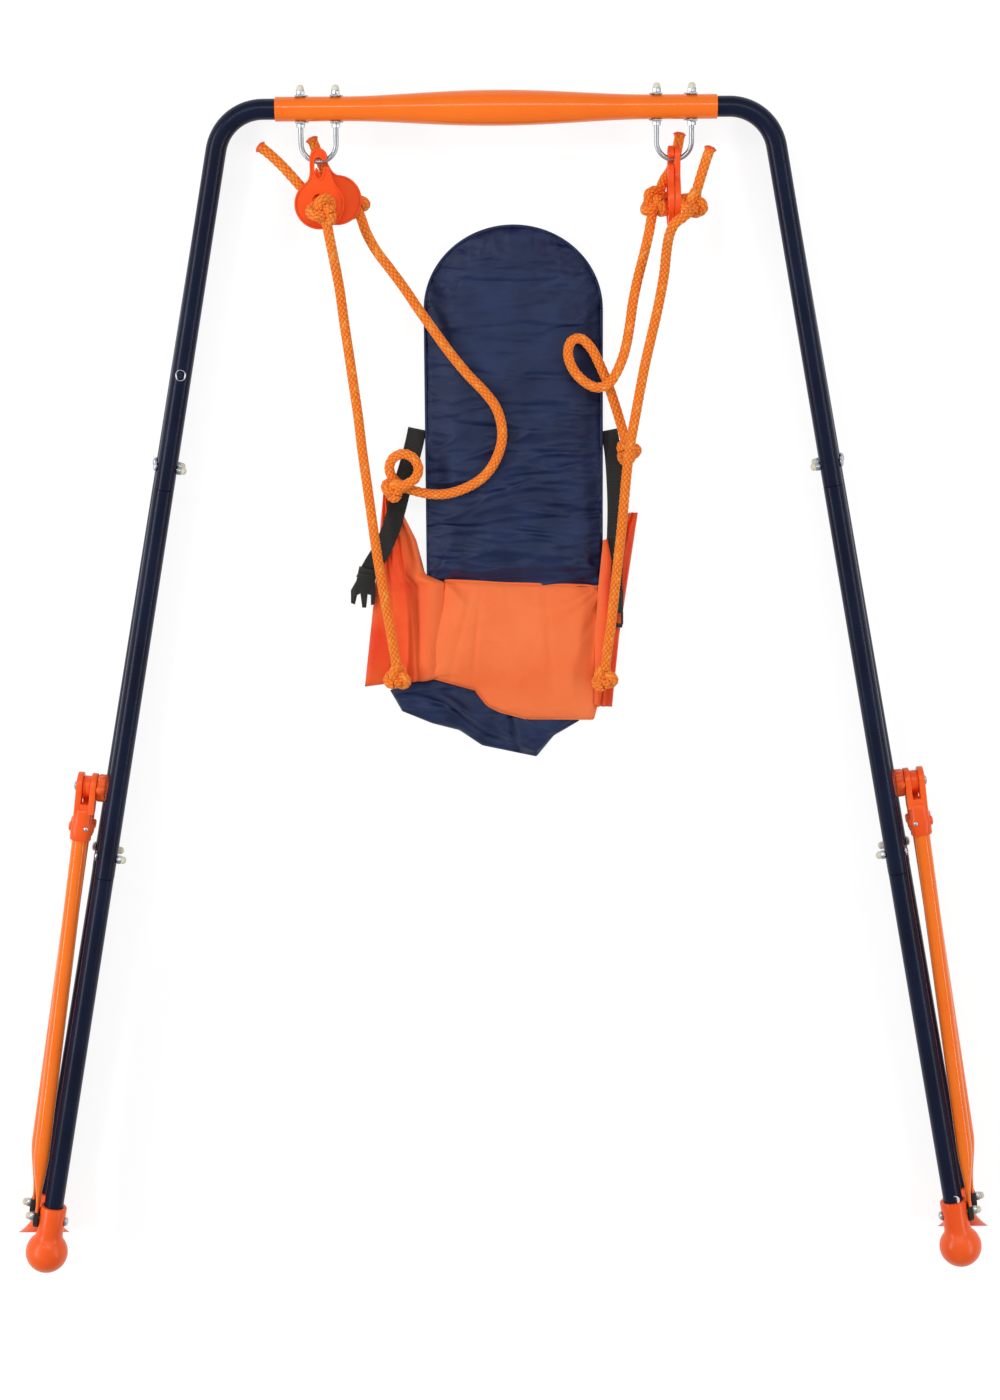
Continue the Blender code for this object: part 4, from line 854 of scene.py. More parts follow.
for label, side in SIDES:
    middle = Vector((side * HANG, BAR, DEPTH["front"]))
    bend = middle - Y * HANG_DROP
    line = [middle - X * HALF + Y * ABOVE_BAR, middle - X * HALF]
    line += [bend - Vector((cos(a), sin(a), 0)) * HALF for a in (pi * k / 28 for k in range(29))]
    line += [middle + X * HALF, middle + X * HALF + Y * ABOVE_BAR]
    place(f"u_bolt_{label}", tube(line, ROD, 24), [zinc], "front_frame", [f"hanger_bolt_{label}"])
    for k in (-1, 1):
        end = f"{label}_{'outer' if k * side > 0 else 'inner'}"
        stem = middle + X * (k * HALF)
        nut("u_nut_under_" + end, stem - Y * BESIDE_BAR, -Y, NUT_HIGH, "front_frame")
        nut("u_nut_over_" + end, stem + Y * BESIDE_BAR, Y, OVER_NUT, "front_frame")
        cap("u_cap_" + end, stem + Y * (BESIDE_BAR + OVER_NUT), Y, "front_frame")

        # the strap starts as one edge across its width, is drawn out and spun round the bar
        bm = bmesh.new()
        hub = Vector((stem.x, BAR, 0))
        corners = [hub + Y * STRAP_BEND + Z * STRAP_RUN + X * (STRAP_HALF * d) for d in (-1, 1)]
        edge = bm.edges.new([bm.verts.new(corner) for corner in corners])
        new = bmesh.ops.extrude_edge_only(bm, edges=[edge])["geom"]
        verts = of_kind(new)
        bmesh.ops.translate(bm, vec=(0, 0, -STRAP_RUN), verts=verts)
        edge = next(e for e in of_kind(new, bmesh.types.BMEdge) if set(e.verts) == set(verts))
        spun = bmesh.ops.spin(bm, geom=[*verts, edge], cent=hub, axis=-X, angle=pi, steps=16,
                              use_merge=False, use_duplicate=False, dvec=(0, 0, 0))["geom_last"]
        new = bmesh.ops.extrude_edge_only(bm, edges=of_kind(spun, bmesh.types.BMEdge))["geom"]
        bmesh.ops.translate(bm, vec=(0, 0, STRAP_RUN), verts=of_kind(new))
        band = place("hinge_strap_" + end, sound(bm), [zinc], "front_frame",
                     [f"hinge_bracket_{label}"], 30)
        walled(band, 0.0016, 0)
        edges = band.modifiers.new("edges", "BEVEL")
        edges.width, edges.segments, edges.limit_method = 0.0003, 2, "ANGLE"


# ---- Side braces ------------------------------------------------------------------------
# Each side has two orange painted struts whose flattened feet are sheathed in black plastic and
# turn on the foot bolts. Orange plastic fittings join their tops: the rear one's tongue goes in
# the front one's fork, on a pin that a scalloped knob clamps.
HINGE_UP, HINGE_OUT, HINGE_HIGH, PIN_TURN = 0.604, 0.0395, 0.032, radians(6.3)
STRUT_OUT, STRUT_APART, PIN_HALF = 0.0228, 0.0125, 0.0128
COLLAR_LOW, COLLAR_HIGH, WEB = 0.066, 0.026, 0.031
FITTING = {"rear": "tongue", "front": "fork"}
black_plastic = coated("black moulded plastic", "black_plastic", (32, 32, 31), 0.42,
                       (40.0, 900.0), (24, 24, 24), (42, 42, 40), None,
                       (0.3, 0.7, 0.36, 0.52), bump=0.00012, Specular_IOR_Level=0.45)


def cut_plate(bm, outline, through, rounding):
    """A flat plate from its outline, as thick as the vector through, with rounded edges."""
    face = bm.faces.new([bm.verts.new(p) for p in outline])
    rims = {e for f in (face, *drawn_out(bm, face, through)) for e in f.edges}
    bmesh.ops.bevel(bm, geom=list(rims), offset=rounding, segments=2, profile=0.5,
                    affect="EDGES", material=-1, clamp_overlap=True)
    bmesh.ops.recalc_face_normals(bm, faces=bm.faces)
    return bm


def squared(width, depth, power):
    """A ring's outline between an ellipse, at power 1, and a rounded rectangle, below it."""
    def outline(angle):
        a, b = (abs(n) ** power * (1 if n > 0 else -1) for n in (cos(angle), sin(angle)))
        return width * a, depth * b
    return outline


def eased(value):
    value = min(max(value, 0.0), 1.0)
    return value * value * (3 - 2 * value)


for label, side in SIDES:
    pivot = leg("front", side, HINGE_UP) + out("front", side) * HINGE_OUT
    pivot.z = HINGE_HIGH
    pin = Vector((side * cos(PIN_TURN), sin(PIN_TURN), 0))
    for which, sign in (("rear", -1), ("front", 1)):
        wide = out(which, side)
        spot = leg(which, side, FOOT_BOLT)
        foot = spot + wide * STRUT_OUT
        top = pivot + Z * (STRUT_APART * sign)
        way, length = (top - foot).normalized(), (top - foot).length
        wide = (wide - way * wide.dot(way)).normalized()
        deep = way.cross(wide)
        deep = deep if deep.z > 0 else -deep
        body, fitting = f"{which}_brace_{label}", FITTING[which]

        # the tube, from its flattened foot to inside the fitting
        rings, shapes = [], []
        stops = [(0.012 + 0.076 * k / 20, k / 20) for k in range(21)]
        for distance, share in [(0.004, 0.0), *stops, (length - 0.032, 1.0)]:
            ease = eased(share)
            centre = foot + way * distance + wide * ((CAP_MIDDLE - STRUT_OUT) * (1 - ease))
            rings.append(stood(wide, deep, wide.cross(deep), centre))
            shapes.append(squared(0.0022 + 0.0078 * ease, 0.0112 - 0.0012 * ease,
                                  0.75 + 0.25 * ease))
        name = f"{which}_strut_{label}"
        bm = wrap(rings, lambda i, a: shapes[i](a), 40)
        place(name + "_tube", bm, [orange_paint], body, [name])

        # the black sheath on its flattened foot
        centre = spot + out(which, side) * (CAP_MIDDLE - CAP_HALF)
        outline = [centre + deep * (0.0120 * cos(a)) + way * (0.0122 * sin(a) - 0.0010)
                   for a in (pi + pi * k / 14 for k in range(15))]
        outline += [centre + deep * a + way * b
                    for a, b in mm(((12, 8), (11.2, 9.5), (-11.2, 9.5), (-12, 8)))]
        bm = cut_plate(bmesh.new(), outline, out(which, side) * (2 * CAP_HALF), 0.0009)
        place(name + "_sheath", bm, [black_plastic], body)

        # the fitting's collar, with a thicker band that has a small boss on each side
        low, high = length - COLLAR_LOW, length - COLLAR_HIGH
        levels = ((low, 12.4, 10.8), (low + 0.0012, 13.2, 11.4), (low + 0.010, 13.3, 11.5),
                  (low + 0.012, 14, 11.8), (low + 0.020, 14, 11.8), (low + 0.022, 12.2, 11),
                  (high - 0.006, 12.2, 11), (high - 0.002, 11.8, 10.5), (high, 10.4, 9.2))
        rings = [stood(wide, deep, wide.cross(deep), foot + way * d) for d, *_ in levels]
        shapes = [squared(w / 1000, d / 1000, 0.85) for _, w, d in levels]
        bm = wrap(rings, lambda i, a: shapes[i](a), 40)
        for k in (-1, 1):
            boss = foot + way * (low + 0.016) + wide * (0.0125 * k)
            profile = mm(((0, 6.2), (2, 6), (3.2, 4.6), (3.6, 0)))
            bm.from_mesh(meshed("boss", turned(boss, wide * k, profile, 24)))
        place(f"{fitting}_collar_{label}", bm, [orange_plastic], body,
              [f"hinge_{fitting}_{label}"], 40)
        screw = foot + way * (low + 0.017) - wide * 0.0068 + deep * 0.0098
        profile = mm(((3.6, 0), (3.4, 1.6), (2.6, 2.6), (1, 3), (0, 3), (0, 0)))
        place(body + "_screw_in", turned(screw, deep, profile, 20), [zinc], body)

        # round eyes with a web down to the collar: one thick tongue, or the fork's two ears
        rise = pin.cross(Z) if pin.cross(Z).dot(way) > 0 else Z.cross(pin)
        size, half, slabs = {"rear": (0.0140, 0.0074, ((-4.6, 4.6),)),
                             "front": (0.0180, 0.0092, ((5, 12.5), (-12.5, -5)))}[which]
        outline = [pivot + Z * (sign * size * cos(a)) + rise * (size * sin(a))
                   for a in (radians(265) * k / 28 for k in range(29))]
        outline += [pivot + Z * (sign * (STRUT_APART + h)) - rise * WEB for h in (-half, half)]
        bm = bmesh.new()
        for a, b in mm(slabs):
            cut_plate(bm, [p + pin * a for p in outline], pin * (b - a), 0.0011)
        if which == "front":
            root = [pivot + Z * a - rise * b - pin * 0.0054
                    for a, b in mm(((4.5, 19), (20.5, 19), (20.5, 34), (4.5, 34)))]
            cut_plate(bm, root, pin * 0.0108, 0.0008)
        place(f"{fitting}_eye_{label}", bm, [orange_plastic], body)

    # the knob on the inside, with six finger grips and a dished face, and the pin's round nut
    grips = mm(((12.8, 15, 0), (13.2, 16, 1), (15, 16.6, 1.4), (22.2, 16.6, 1.4), (23.8, 15.8, 1.2),
                (24.6, 14, 0.6), (24.6, 10, 0), (23.6, 8, 0), (23.4, 3, 0)))

    def gripped(i, angle):
        r = grips[i][1] + grips[i][2] * cos(6 * angle)
        return r * cos(angle), r * sin(angle)

    rings = [stood(Z, pin.cross(Z), -pin, pivot - pin * d) for d, *_ in grips]
    body = f"clamp_knob_{label}"
    place(f"knob_{label}", wrap(rings, gripped, 72), [orange_plastic], body,
          [f"hinge_knob_{label}"], 40)
    profile = mm(((17, 0), (16.9, 2), (16.2, 4.4), (15, 6), (13.4, 6.2), (12.8, 5.8)))
    profile += [(PIN_HALF, SHANK), (-PIN_HALF, SHANK), (-PIN_HALF, 0)]
    place(f"hinge_pin_{label}", turned(pivot, pin, profile, 28), [zinc], body, sharp=45)


# ---- Hooks ------------------------------------------------------------------------------
# Two flat red orange plastic hooks a side hang on the U bolt by an open crook. Each widens to a
# round lobe with a raised rim, and the rope goes through the hole in the lobe.
MOUTH, LOBE, EYELET, RIM_IN = 0.0052, 0.030, 0.0078, 0.0014
PLATE, RIM, HOOK_DROP = 0.0024, 0.0036, 0.062
LOBE_DOWN, EYELET_DOWN = 0.050, 0.0460
hook_plastic = coated("red orange plastic", "hook_plastic", (252, 74, 18), 0.36, (30.0, 700.0),
                      (250, 78, 12), (255, 92, 20), (0.3, 0.7), (0.25, 0.75, 0.30, 0.44),
                      bump=0.00005, Coat_Weight=0.1, Specular_IOR_Level=0.3)


def softened(points, rounds=2):
    """A closed outline with its corners cut off, again and again."""
    for _ in range(rounds):
        points = [tuple(p * (1 - t) + q * t for p, q in zip(a, b))
                  for a, b in zip(points, points[1:] + points[:1]) for t in (0.25, 0.75)]
    return points


def rimmed(bm, outline):
    """A raised rim that follows a flat outline just inside the plastic."""
    section, places = squared(RIM_IN, RIM, 0.6), []
    for k in range(len(outline) + 1):
        before, here, after = (Vector((*outline[(k + d) % len(outline)], 0)) for d in (-1, 0, 1))
        inwards = (after - before).normalized().cross(Z)
        places.append(stood(inwards, Z, inwards.cross(Z), here + inwards * RIM_IN))
    wrap(places, lambda i, a: section(a), 16, bm=bm)


def flat_mesh(name, data):
    """A curve's or a text's mesh, ready to be worked on."""
    shape = bpy.data.objects.new(name, data)
    bm = bmesh.new()
    bm.from_mesh(shape.to_mesh())
    shape.to_mesh_clear()
    bpy.data.objects.remove(shape)
    return bm


def hook(name, rod, u, v, n, distance, half):
    """A hook plate from a flat curve, with a raised rim round it and round its hole."""
    crook = [(-half, -0.020), (-half, 0.004)]
    crook += [(half * cos(a), 0.004 + 0.0125 * sin(a))
              for a in (pi - pi * k / 10 for k in range(1, 10))]
    crook += [(half, 0.004), (MOUTH, 0.0004)]
    crook += [(MOUTH * cos(a), MOUTH * sin(a)) for a in (pi * k / 8 for k in range(1, 9))]
    crook += [(-MOUTH, -0.013), (-0.003, -0.0175), (MOUTH * 0.1, -0.0205), (0.0035, -0.0175),
              (MOUTH, -0.013), (MOUTH + 0.0005, -0.0055), (half, -0.0050)]
    lobe = [(LOBE * cos(a), LOBE * sin(a) - LOBE_DOWN)
            for a in (radians(50 - 280 * k / 28) for k in range(29))]
    eyelet = [(EYELET * cos(a), EYELET * sin(a) - EYELET_DOWN)
              for a in (2 * pi * k / 24 for k in range(24))]
    flat = bpy.data.curves.new(name, "CURVE")
    flat.dimensions, flat.fill_mode, flat.extrude = "2D", "BOTH", PLATE
    edge = softened(crook + lobe)
    for outline in (edge, eyelet):
        spline = flat.splines.new("POLY")
        spline.points.add(len(outline) - 1)
        for point, (a, b) in zip(spline.points, outline):
            point.co = (a, b, 0, 1)
        spline.use_cyclic_u = True
    bm = flat_mesh(name + "_flat", flat)
    bmesh.ops.remove_doubles(bm, verts=bm.verts, dist=1e-6)
    rimmed(bm, edge)
    rimmed(bm, eyelet)
    hung = stood(u, v, n, rod + n * (distance + 0.0035))
    bmesh.ops.transform(bm, matrix=hung, verts=bm.verts)
    bmesh.ops.recalc_face_normals(bm, faces=bm.faces)
    place(name + "_plate", bm, [hook_plastic], "seat", [name], 40)


lean = Matrix.Rotation(radians(24), 3, "Z")
left_rod, right_rod = (Vector((x, BAR - HOOK_DROP, DEPTH["front"])) for x in (-HANG, HANG))
hook("left_hook_front", left_rod, X, Y, Z, 0.0040, 0.0108)
hook("left_hook_back", left_rod, lean @ -X, lean @ Y, -Z, 0.0057, 0.0085)
hook("right_hook_inner", right_rod, Z, Y, -X, 0.0003, 0.0125)
hook("right_hook_outer", right_rod, -Z, Y, X, 0.0003, 0.0125)


# ---- Backrest ---------------------------------------------------------------------------
# A stiff board and a thin foam sheet in a cover of navy nylon satin, with a corded seam all
# round. The cover is a little loose, so shallow folds run across it.
PAD_MIDDLE, PAD_HALF, PAD_THICK = 0.0195, 0.110, 0.01728
PAD_TOP, PAD_ARC, PAD_FOOT, PAD_CORNER = -0.1405, -0.2435, -0.5900, 0.010
VOXEL, LIFTED, SOFT_EDGE = 0.0040, 0.0008, 0.0045


def floor_at(y):
    return -((LIE @ Vector((0, y, 0))).z) / cos(TILT)


def laid(x, y, height):
    """A point above the ground; y is measured from the top bar's axis."""
    return Vector((x, BAR + y, floor_at(BAR + y) + height))


weave, given, put = effect("weave", (("Threads", 2400.0),), ("Cloth",))
seen_at = feed(weave, "ShaderNodeSeparateXYZ", object_spot(weave)).outputs
rows = [maths(weave, "SINE", maths(weave, "MULTIPLY", seen_at[k], given[0])) for k in (0, 1)]
weave.links.new(maths(weave, "MULTIPLY", *rows), put["Cloth"])


def nylon(name, slot, dark, mean, light, roughness, fold_size, crinkle, inner=None):
    """A nylon finish; where inner is given the colour passes to it over the cloth's inner half."""
    material, tree, shader = finish(name, slot, mean, roughness, Specular_IOR_Level=0.3)
    patches, grain = use(tree, uneven, fold_size, 500.0)
    cloth = use(tree, weave, 5200.0)[0]
    tone = maths(tree, "MULTIPLY_ADD", cloth, 0.06, spread(tree, patches, 0.3, 0.7))
    colour = blended(tree, tone, dark, light)
    # where inner is given, the painted shade over the cloth's outer half passes to the inner colour towards its inner
    # edge
    if inner:
        across = feed(tree, "ShaderNodeSeparateXYZ", cloth_spot(tree)).outputs[0]
        colour = blended(tree, spread(tree, across, 0.45, 0.92), colour, inner)
    colour_with(tree, shader, colour)
    wear = spread(tree, patches, 0.25, 0.75, roughness - 0.05, roughness + 0.07)
    tree.links.new(wear, shader.inputs["Roughness"])
    long_ways = feed(tree, "ShaderNodeMapping", object_spot(tree))
    long_ways.inputs["Scale"].default_value = (10.0, 44.0, 20.0)
    creases = clouds(tree, long_ways.outputs[0], 1.0, 1.0)
    creases.inputs["Distortion"].default_value = 0.5
    height = maths(tree, "MULTIPLY_ADD", grain, 0.10, patches)
    height = maths(tree, "MULTIPLY_ADD", cloth, 0.05, height)
    ridges = spread(tree, creases.outputs["Fac"], 0.42, 0.62)
    height = maths(tree, "MULTIPLY_ADD", ridges, crinkle, height)
    raise_surface(tree, shader, height, 0.0022, 0.8)
    return material


navy_nylon = nylon("navy nylon satin", "navy_cloth", (15, 29, 64), (20, 35, 71), (28, 45, 85),
                   0.34, 24.0, 1.7)
orange_nylon = nylon("orange nylon", "orange_cloth", (249, 110, 52), (252, 118, 60),
                     (255, 128, 70), 0.50, 12.0, 0.05)
# painted shade: the panels' and gusset's nylon is the orange nylon made darker and redder, as if turned from the
# light, and it passes back to the orange nylon's own colour towards each piece's inner edge
nylon_in_painted_shade = nylon("orange nylon in painted shade", "orange_cloth", (238, 62, 17), (246, 82, 28),
                     (252, 100, 40), 0.50, 16.0, 0.15, (252, 118, 60))


def changed(thing):
    """What an object's modifier has made of its mesh; the object itself isn't kept."""
    bm = bmesh.new()
    bm.from_object(thing, bpy.context.evaluated_depsgraph_get())
    bpy.data.objects.remove(thing)
    return bm


def remeshed(bm):
    """The same shape in even squares of one size."""
    thing = add("rough", meshed("rough", bm))
    remesh = thing.modifiers.new("even", "REMESH")
    remesh.mode, remesh.voxel_size = "VOXEL", VOXEL
    return changed(thing)


def blown(bm, pressure=4.0, furthest=0.006, frames=20):
    """Lets a sewn cover swell for a moment as cloth, and limits how far any point goes."""
    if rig.quick():
        return bm
    mesh = meshed("cover", bm)
    thing = add("cover", mesh)
    held = thing.vertex_groups.new(name="held")
    low = [v.index for v in mesh.vertices if v.co.z - floor_at(v.co.y) < 0.010]
    held.add(low, 1.0, "REPLACE")
    cloth = thing.modifiers.new("cloth", "CLOTH")
    settings = cloth.settings
    settings.quality = 4
    settings.use_pressure, settings.uniform_pressure_force = True, pressure
    settings.effector_weights.gravity = 0
    settings.vertex_group_mass = "held"
    settings.tension_stiffness = settings.compression_stiffness = 12
    cloth.collision_settings.use_collision = False
    cloth.point_cache.frame_end = frames
    for step in range(1, frames + 1):
        bpy.context.scene.frame_set(step)
    swollen = changed(thing)
    for v, start in zip(swollen.verts, mesh.vertices):
        move = v.co - start.co
        if move.length > furthest:
            v.co = start.co + move * (furthest / move.length)
    bpy.context.scene.frame_set(1)
    return swollen


def stuffed(outline, thick):
    """A sewn cover over a flat outline, filled and smoothed."""
    corners = [laid(x, y, LIFTED) for x, y in outline]
    bm = blown(remeshed(cut_plate(bmesh.new(), corners, Z * thick, SOFT_EDGE)))
    bmesh.ops.subdivide_edges(bm, edges=bm.edges, cuts=1, use_grid_fill=True)
    bmesh.ops.smooth_vert(bm, verts=bm.verts, factor=0.5,
                          use_axis_x=True, use_axis_y=True, use_axis_z=True)
    return bm


def creased(x, y, seed, length, depth):
    """The height of long soft folds with sharp crests, for cloth that is a little loose."""
    warp = noise.noise(Vector((x * 9, y * 9, seed))) * 0.020
    ridge = 1 - abs(noise.noise(Vector((x / length, (y + warp) / depth, seed + 5)))) * 2
    return max(ridge, 0) ** 3


def run_of(points, count):
    """Evenly spaced points along a flat line."""
    steps = [hypot(b[0] - a[0], b[1] - a[1]) for a, b in zip(points, points[1:])]
    line, k, gone = [], 0, 0.0
    for i in range(count + 1):
        want = sum(steps) * i / count
        while k < len(steps) - 1 and gone + steps[k] < want:
            gone += steps[k]
            k += 1
        t = (want - gone) / steps[k]
        line.append(tuple(a + (b - a) * t for a, b in zip(points[k], points[k + 1])))
    return line


def pad_edge(inset, count=56):
    """The backrest's outline with its round top and two square lower corners."""
    half, top, low = PAD_HALF - inset, PAD_TOP - inset, PAD_FOOT + inset
    points = [(half * cos(a), PAD_ARC + (top - PAD_ARC) * sin(a))
              for a in (pi * k / count for k in range(count + 1))]
    aside = [PAD_CORNER * (1 - cos(pi / 2 * k / 5)) for k in range(6)]
    above = [PAD_CORNER * (1 - sin(pi / 2 * k / 5)) for k in range(6)]
    points += [(a - half, low + b) for a, b in zip(aside, above)]
    points += [(half - b, low + a) for a, b in zip(aside, above)]
    return [(PAD_MIDDLE + x, y) for x, y in points]


bm = stuffed(pad_edge(-0.0004), PAD_THICK)
for v in bm.verts:
    x, y = v.co.x, v.co.y - BAR
    height = v.co.z - floor_at(v.co.y)
    if height > 0.008:
        edge = min(1.0, max(0.0, (PAD_HALF - abs(x - PAD_MIDDLE)) / 0.03))
        lower = min(1.0, max(0.25, (-0.30 - y) / 0.12))
        lift = 0.0048 * creased(x, y, 3.1, 0.16, 0.026) * lower
        lift += 0.0030 * creased(x, y, 5.5, 0.10, 0.014) * lower
        lift += 0.0024 * creased(x, y, 8.4, 0.06, 0.014) * (1.2 - edge)
        v.co.z += min((lift - 0.0012) * min((height - 0.008) / 0.006, 1.0), 0.0042)
        v.co.z -= (height - 0.004) * 0.45 * eased((-0.560 - y) / 0.024)
backrest = place("backrest_cover", bm, [navy_nylon], "seat", ["backrest_pad"], 180)
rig.padded(backrest, fill=0.55)


def corded(name, points, height, radius, material):
    """A thin corded seam that follows an outline."""
    line = [laid(x, y, height) for x, y in run_of(points, 320)]
    place(name, tube(line, radius, 12), [material], "seat", sharp=180)


edge = pad_edge(0.0014)
corded("backrest_seam", [*edge, edge[0]], 0.0110, 0.0019, navy_nylon)


# ---- Seat cushion -----------------------------------------------------------------------
# The padded base of the seat, folded down flat below the backrest: a board and foam sewn in
# orange nylon, with a bound seam along the edge that is now lowest.
def fold(value, at, width):
    """One rounded fold's share, 1 on its crest."""
    return max(0.0, 1 - ((value - at) / width) ** 2) ** 2


bm = stuffed(mm((
    (-70, -580), (122, -588.5), (129, -598), (122, -743.5), (118, -760), (33, -759), (0, -750),
    (-16, -742.5), (-30, -721.5), (-90, -704.5), (-90, -645), (-76, -605),
)), 0.0165)
for v in bm.verts:
    x, y = v.co.x, v.co.y - BAR
    height = v.co.z - floor_at(v.co.y)
    if height > 0.009:
        lift = 0.0014 * noise.noise(Vector((x * 11, y * 7, 2.7)))
        lift += 0.0009 * creased(x, y, 6.2, 0.05, 0.05)
        flatter = 1 - abs(y + 0.655) / 0.09
        for at, slope, wide in ((-0.052, 0.25, 0.007), (-0.030, 0.10, 0.005),
                                (0.062, -0.06, 0.009)):
            lift -= 0.0016 * fold(x - slope * (y + 0.66), at, wide) * flatter
        v.co.z += lift * min((height - 0.009) / 0.008, 1.0)
cushion = place("seat_cushion_cover", bm, [orange_nylon], "seat", ["seat_cushion"], 180)
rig.padded(cushion, fill=0.5)

corded("seat_cushion_binding", mm((
    (-88, -704), (-30.5, -720.5), (-16.5, -741.5), (0, -749), (33, -758), (117.5, -759),
    (121.5, -743), (128, -598), (121.5, -589), (-69, -580.5),
)), 0.0112, 0.0018, orange_nylon)


# ---- Side panels ------------------------------------------------------------------------
# Single orange nylon panels that close the seat's sides, now folded flat beside the cushion. A
# gusset is pleated under the panel's upper corner, and every free edge is hemmed.
def upwards(bm):
    """Turns a mesh's faces over if they look down."""
    if sum(f.normal.z for f in bm.faces) < 0:
        bmesh.ops.reverse_faces(bm, faces=bm.faces)
    return bm


def cloth_between(name, first, second, height, material, stands_for, flat, area, rests_on,
                  wall=0.0011, rows=72, across=40):
    """A cloth laid between two edges, whose height above the ground varies over it."""
    bm = bmesh.new()
    edges = run_of(mm(first), rows), run_of(mm(second), rows)
    for v in gridded(bm, across, rows)[0]:
        s, t = (v.co.y + 1) / 2, (v.co.x + 1) / 2
        a, b = (edge[round(s * rows)] for edge in edges)
        v.co = laid(*(p + (q - p) * t for p, q in zip(a, b)), height(s, t))
    bmesh.ops.recalc_face_normals(bm, faces=bm.faces)
    cloth = place(name, upwards(bm), [material], "seat", stands_for, 180)
    walled(cloth, wall, -1)
    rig.sheet(cloth, flat=flat, held="folded", rests_on=rests_on, area=area)


def hemmed(s, t, edge):
    """How the cloth comes down to the ground at its edges."""
    return min(1.0, max(min(s, 1 - s, t, 1 - t) / edge, 0.0)) ** 0.5


def left_height(s, t):
    rise = 0.0035 + 0.0055 * hemmed(s, t, 0.06) * (1 - 0.5 * t)
    step = 0.0165 * eased((t - 0.40) / 0.45) - 0.0050 * eased((t - 0.86) / 0.14)
    rise += step * eased((s - 0.34) / 0.14)
    rise += 0.0060 * fold(t, 0.90, 0.16) * eased((0.46 - s) / 0.2)
    rise += 0.0040 * fold(t, 0.38 + 0.75 * (s - 0.25), 0.10) * eased((s - 0.15) / 0.2) * (1 - s)
    rise += 0.0034 * fold(t, 0.20 + 0.5 * s, 0.07) * (1 - 0.6 * s)
    rise -= 0.0030 * fold(t, 0.56 + 0.3 * (s - 0.4), 0.06)
    return rise - 0.0022 * fold(t, 0.10 + 0.3 * s, 0.05)


cloth_between("left_panel", (
    (-144, -468.5), (-157, -598.5), (-171, -717.5),
), (
    (-131, -473.5), (-103.5, -530), (-93, -572), (-68, -582.5), (-72, -640), (-80, -706),
),
    left_height, nylon_in_painted_shade, ["left_side_panel"], (0.115, 0.255), 0.0185, ["seat_cushion_cover"])


def right_height(s, t):
    rise = 0.0038 + 0.0058 * hemmed(s, t, 0.08)
    rise += 0.0040 * fold(t, 0.80 - 0.2 * s, 0.16) + 0.0022 * fold(t, 0.30, 0.14) * (1 - s)
    return rise - 0.0030 * fold(t, 0.56, 0.10) * (1 - s * 0.5)


cloth_between("right_panel", (
    (174, -497.5), (160, -593.5), (151, -653.5), (142, -745.5),
), (
    (163, -497.5), (134.5, -538.5), (132, -581), (128, -590), (123.5, -744.5),
),
    right_height, nylon_in_painted_shade, ["right_side_panel"], (0.045, 0.255), 0.0065,
    ["seat_cushion_cover"], across=24)


def gusset_height(s, t):
    rise = 0.0178 + 0.0034 * fold(t, 0.45, 0.4) - 0.0050 * eased((0.25 - t) / 0.25)
    return rise + 0.0008 * sin(19 * s)


cloth_between("right_gusset", (
    (136, -528), (142.5, -556), (142, -670), (126, -743.5),
), (
    (130, -530), (124, -590), (120, -650), (119, -740),
),
    gusset_height, nylon_in_painted_shade, [], (0.022, 0.222), 0.0038,
    ["seat_cushion_cover", "right_panel"], rows=60, across=12)


# ---- Front guard ------------------------------------------------------------------------
# The padded navy band that goes across the child's front, pushed down below the cushion, where
# it lies crumpled in one deep fold and several small ones.
def guard_height(s, t):
    swell = max(sin(pi * min(max(t, 0), 1)), 0) ** 0.7 * max(sin(pi * s), 0) ** 0.35
    rise = 0.0085 + 0.0050 * fold(t, 0.12 + 1.1 * s, 0.14) - 0.0060 * fold(s, 0.62, 0.026)
    rise += 0.0036 * creased(s * 0.25, t * 0.10, 4.4, 0.05, 0.03)
    rise += 0.0030 * fold(t, 0.75 - 0.5 * s, 0.09) * eased((0.6 - s) / 0.2)
    rise += 0.0016 * sin(14 * s + 4 * t) - 0.0040 * fold(t, 0.30 + 1.1 * s, 0.08)
    return 0.0040 + rise * swell


cloth_between("guard_band", (
    (-139, -722.5), (-104, -699), (-73.5, -700), (20, -725), (102, -745),
), (
    (-124, -749.5), (-86, -765.5), (-52, -774.5), (-23, -794.5), (46, -809.5), (68, -782.5),
    (100, -763.5),
),
    guard_height, navy_nylon, ["front_guard"], (0.085, 0.250), 0.0135,
    ["seat_cushion_cover"], 0.0022, 84, 28)


# ---- Webbing, slider and buckle ---------------------------------------------------------
# Black polypropylene webbing, 23 mm wide and ribbed across. The left strap comes out from behind
# the backrest and ends in a side release buckle's plug; the right one ends in a slider.
STRAP_STEP, RIB = 0.003, 0.0019
webbing, tree, shader = finish("black webbing", "black_webbing", (26, 26, 25), 0.8,
                               Sheen_Weight=0.3, Specular_IOR_Level=0.25)
ribs = feed(tree, "ShaderNodeSeparateXYZ", cloth_spot(tree)).outputs[1]
wave = maths(tree, "SINE", maths(tree, "MULTIPLY", ribs, 2 * pi))
grain = use(tree, uneven, 40.0, 1500.0)[GRAIN]
tone = maths(tree, "MULTIPLY_ADD", wave, 0.2, grain)
colour_with(tree, shader, blended(tree, tone, (18, 18, 18), (42, 42, 40)))
raise_surface(tree, shader, maths(tree, "MULTIPLY_ADD", grain, 0.5, wave), 0.0004)


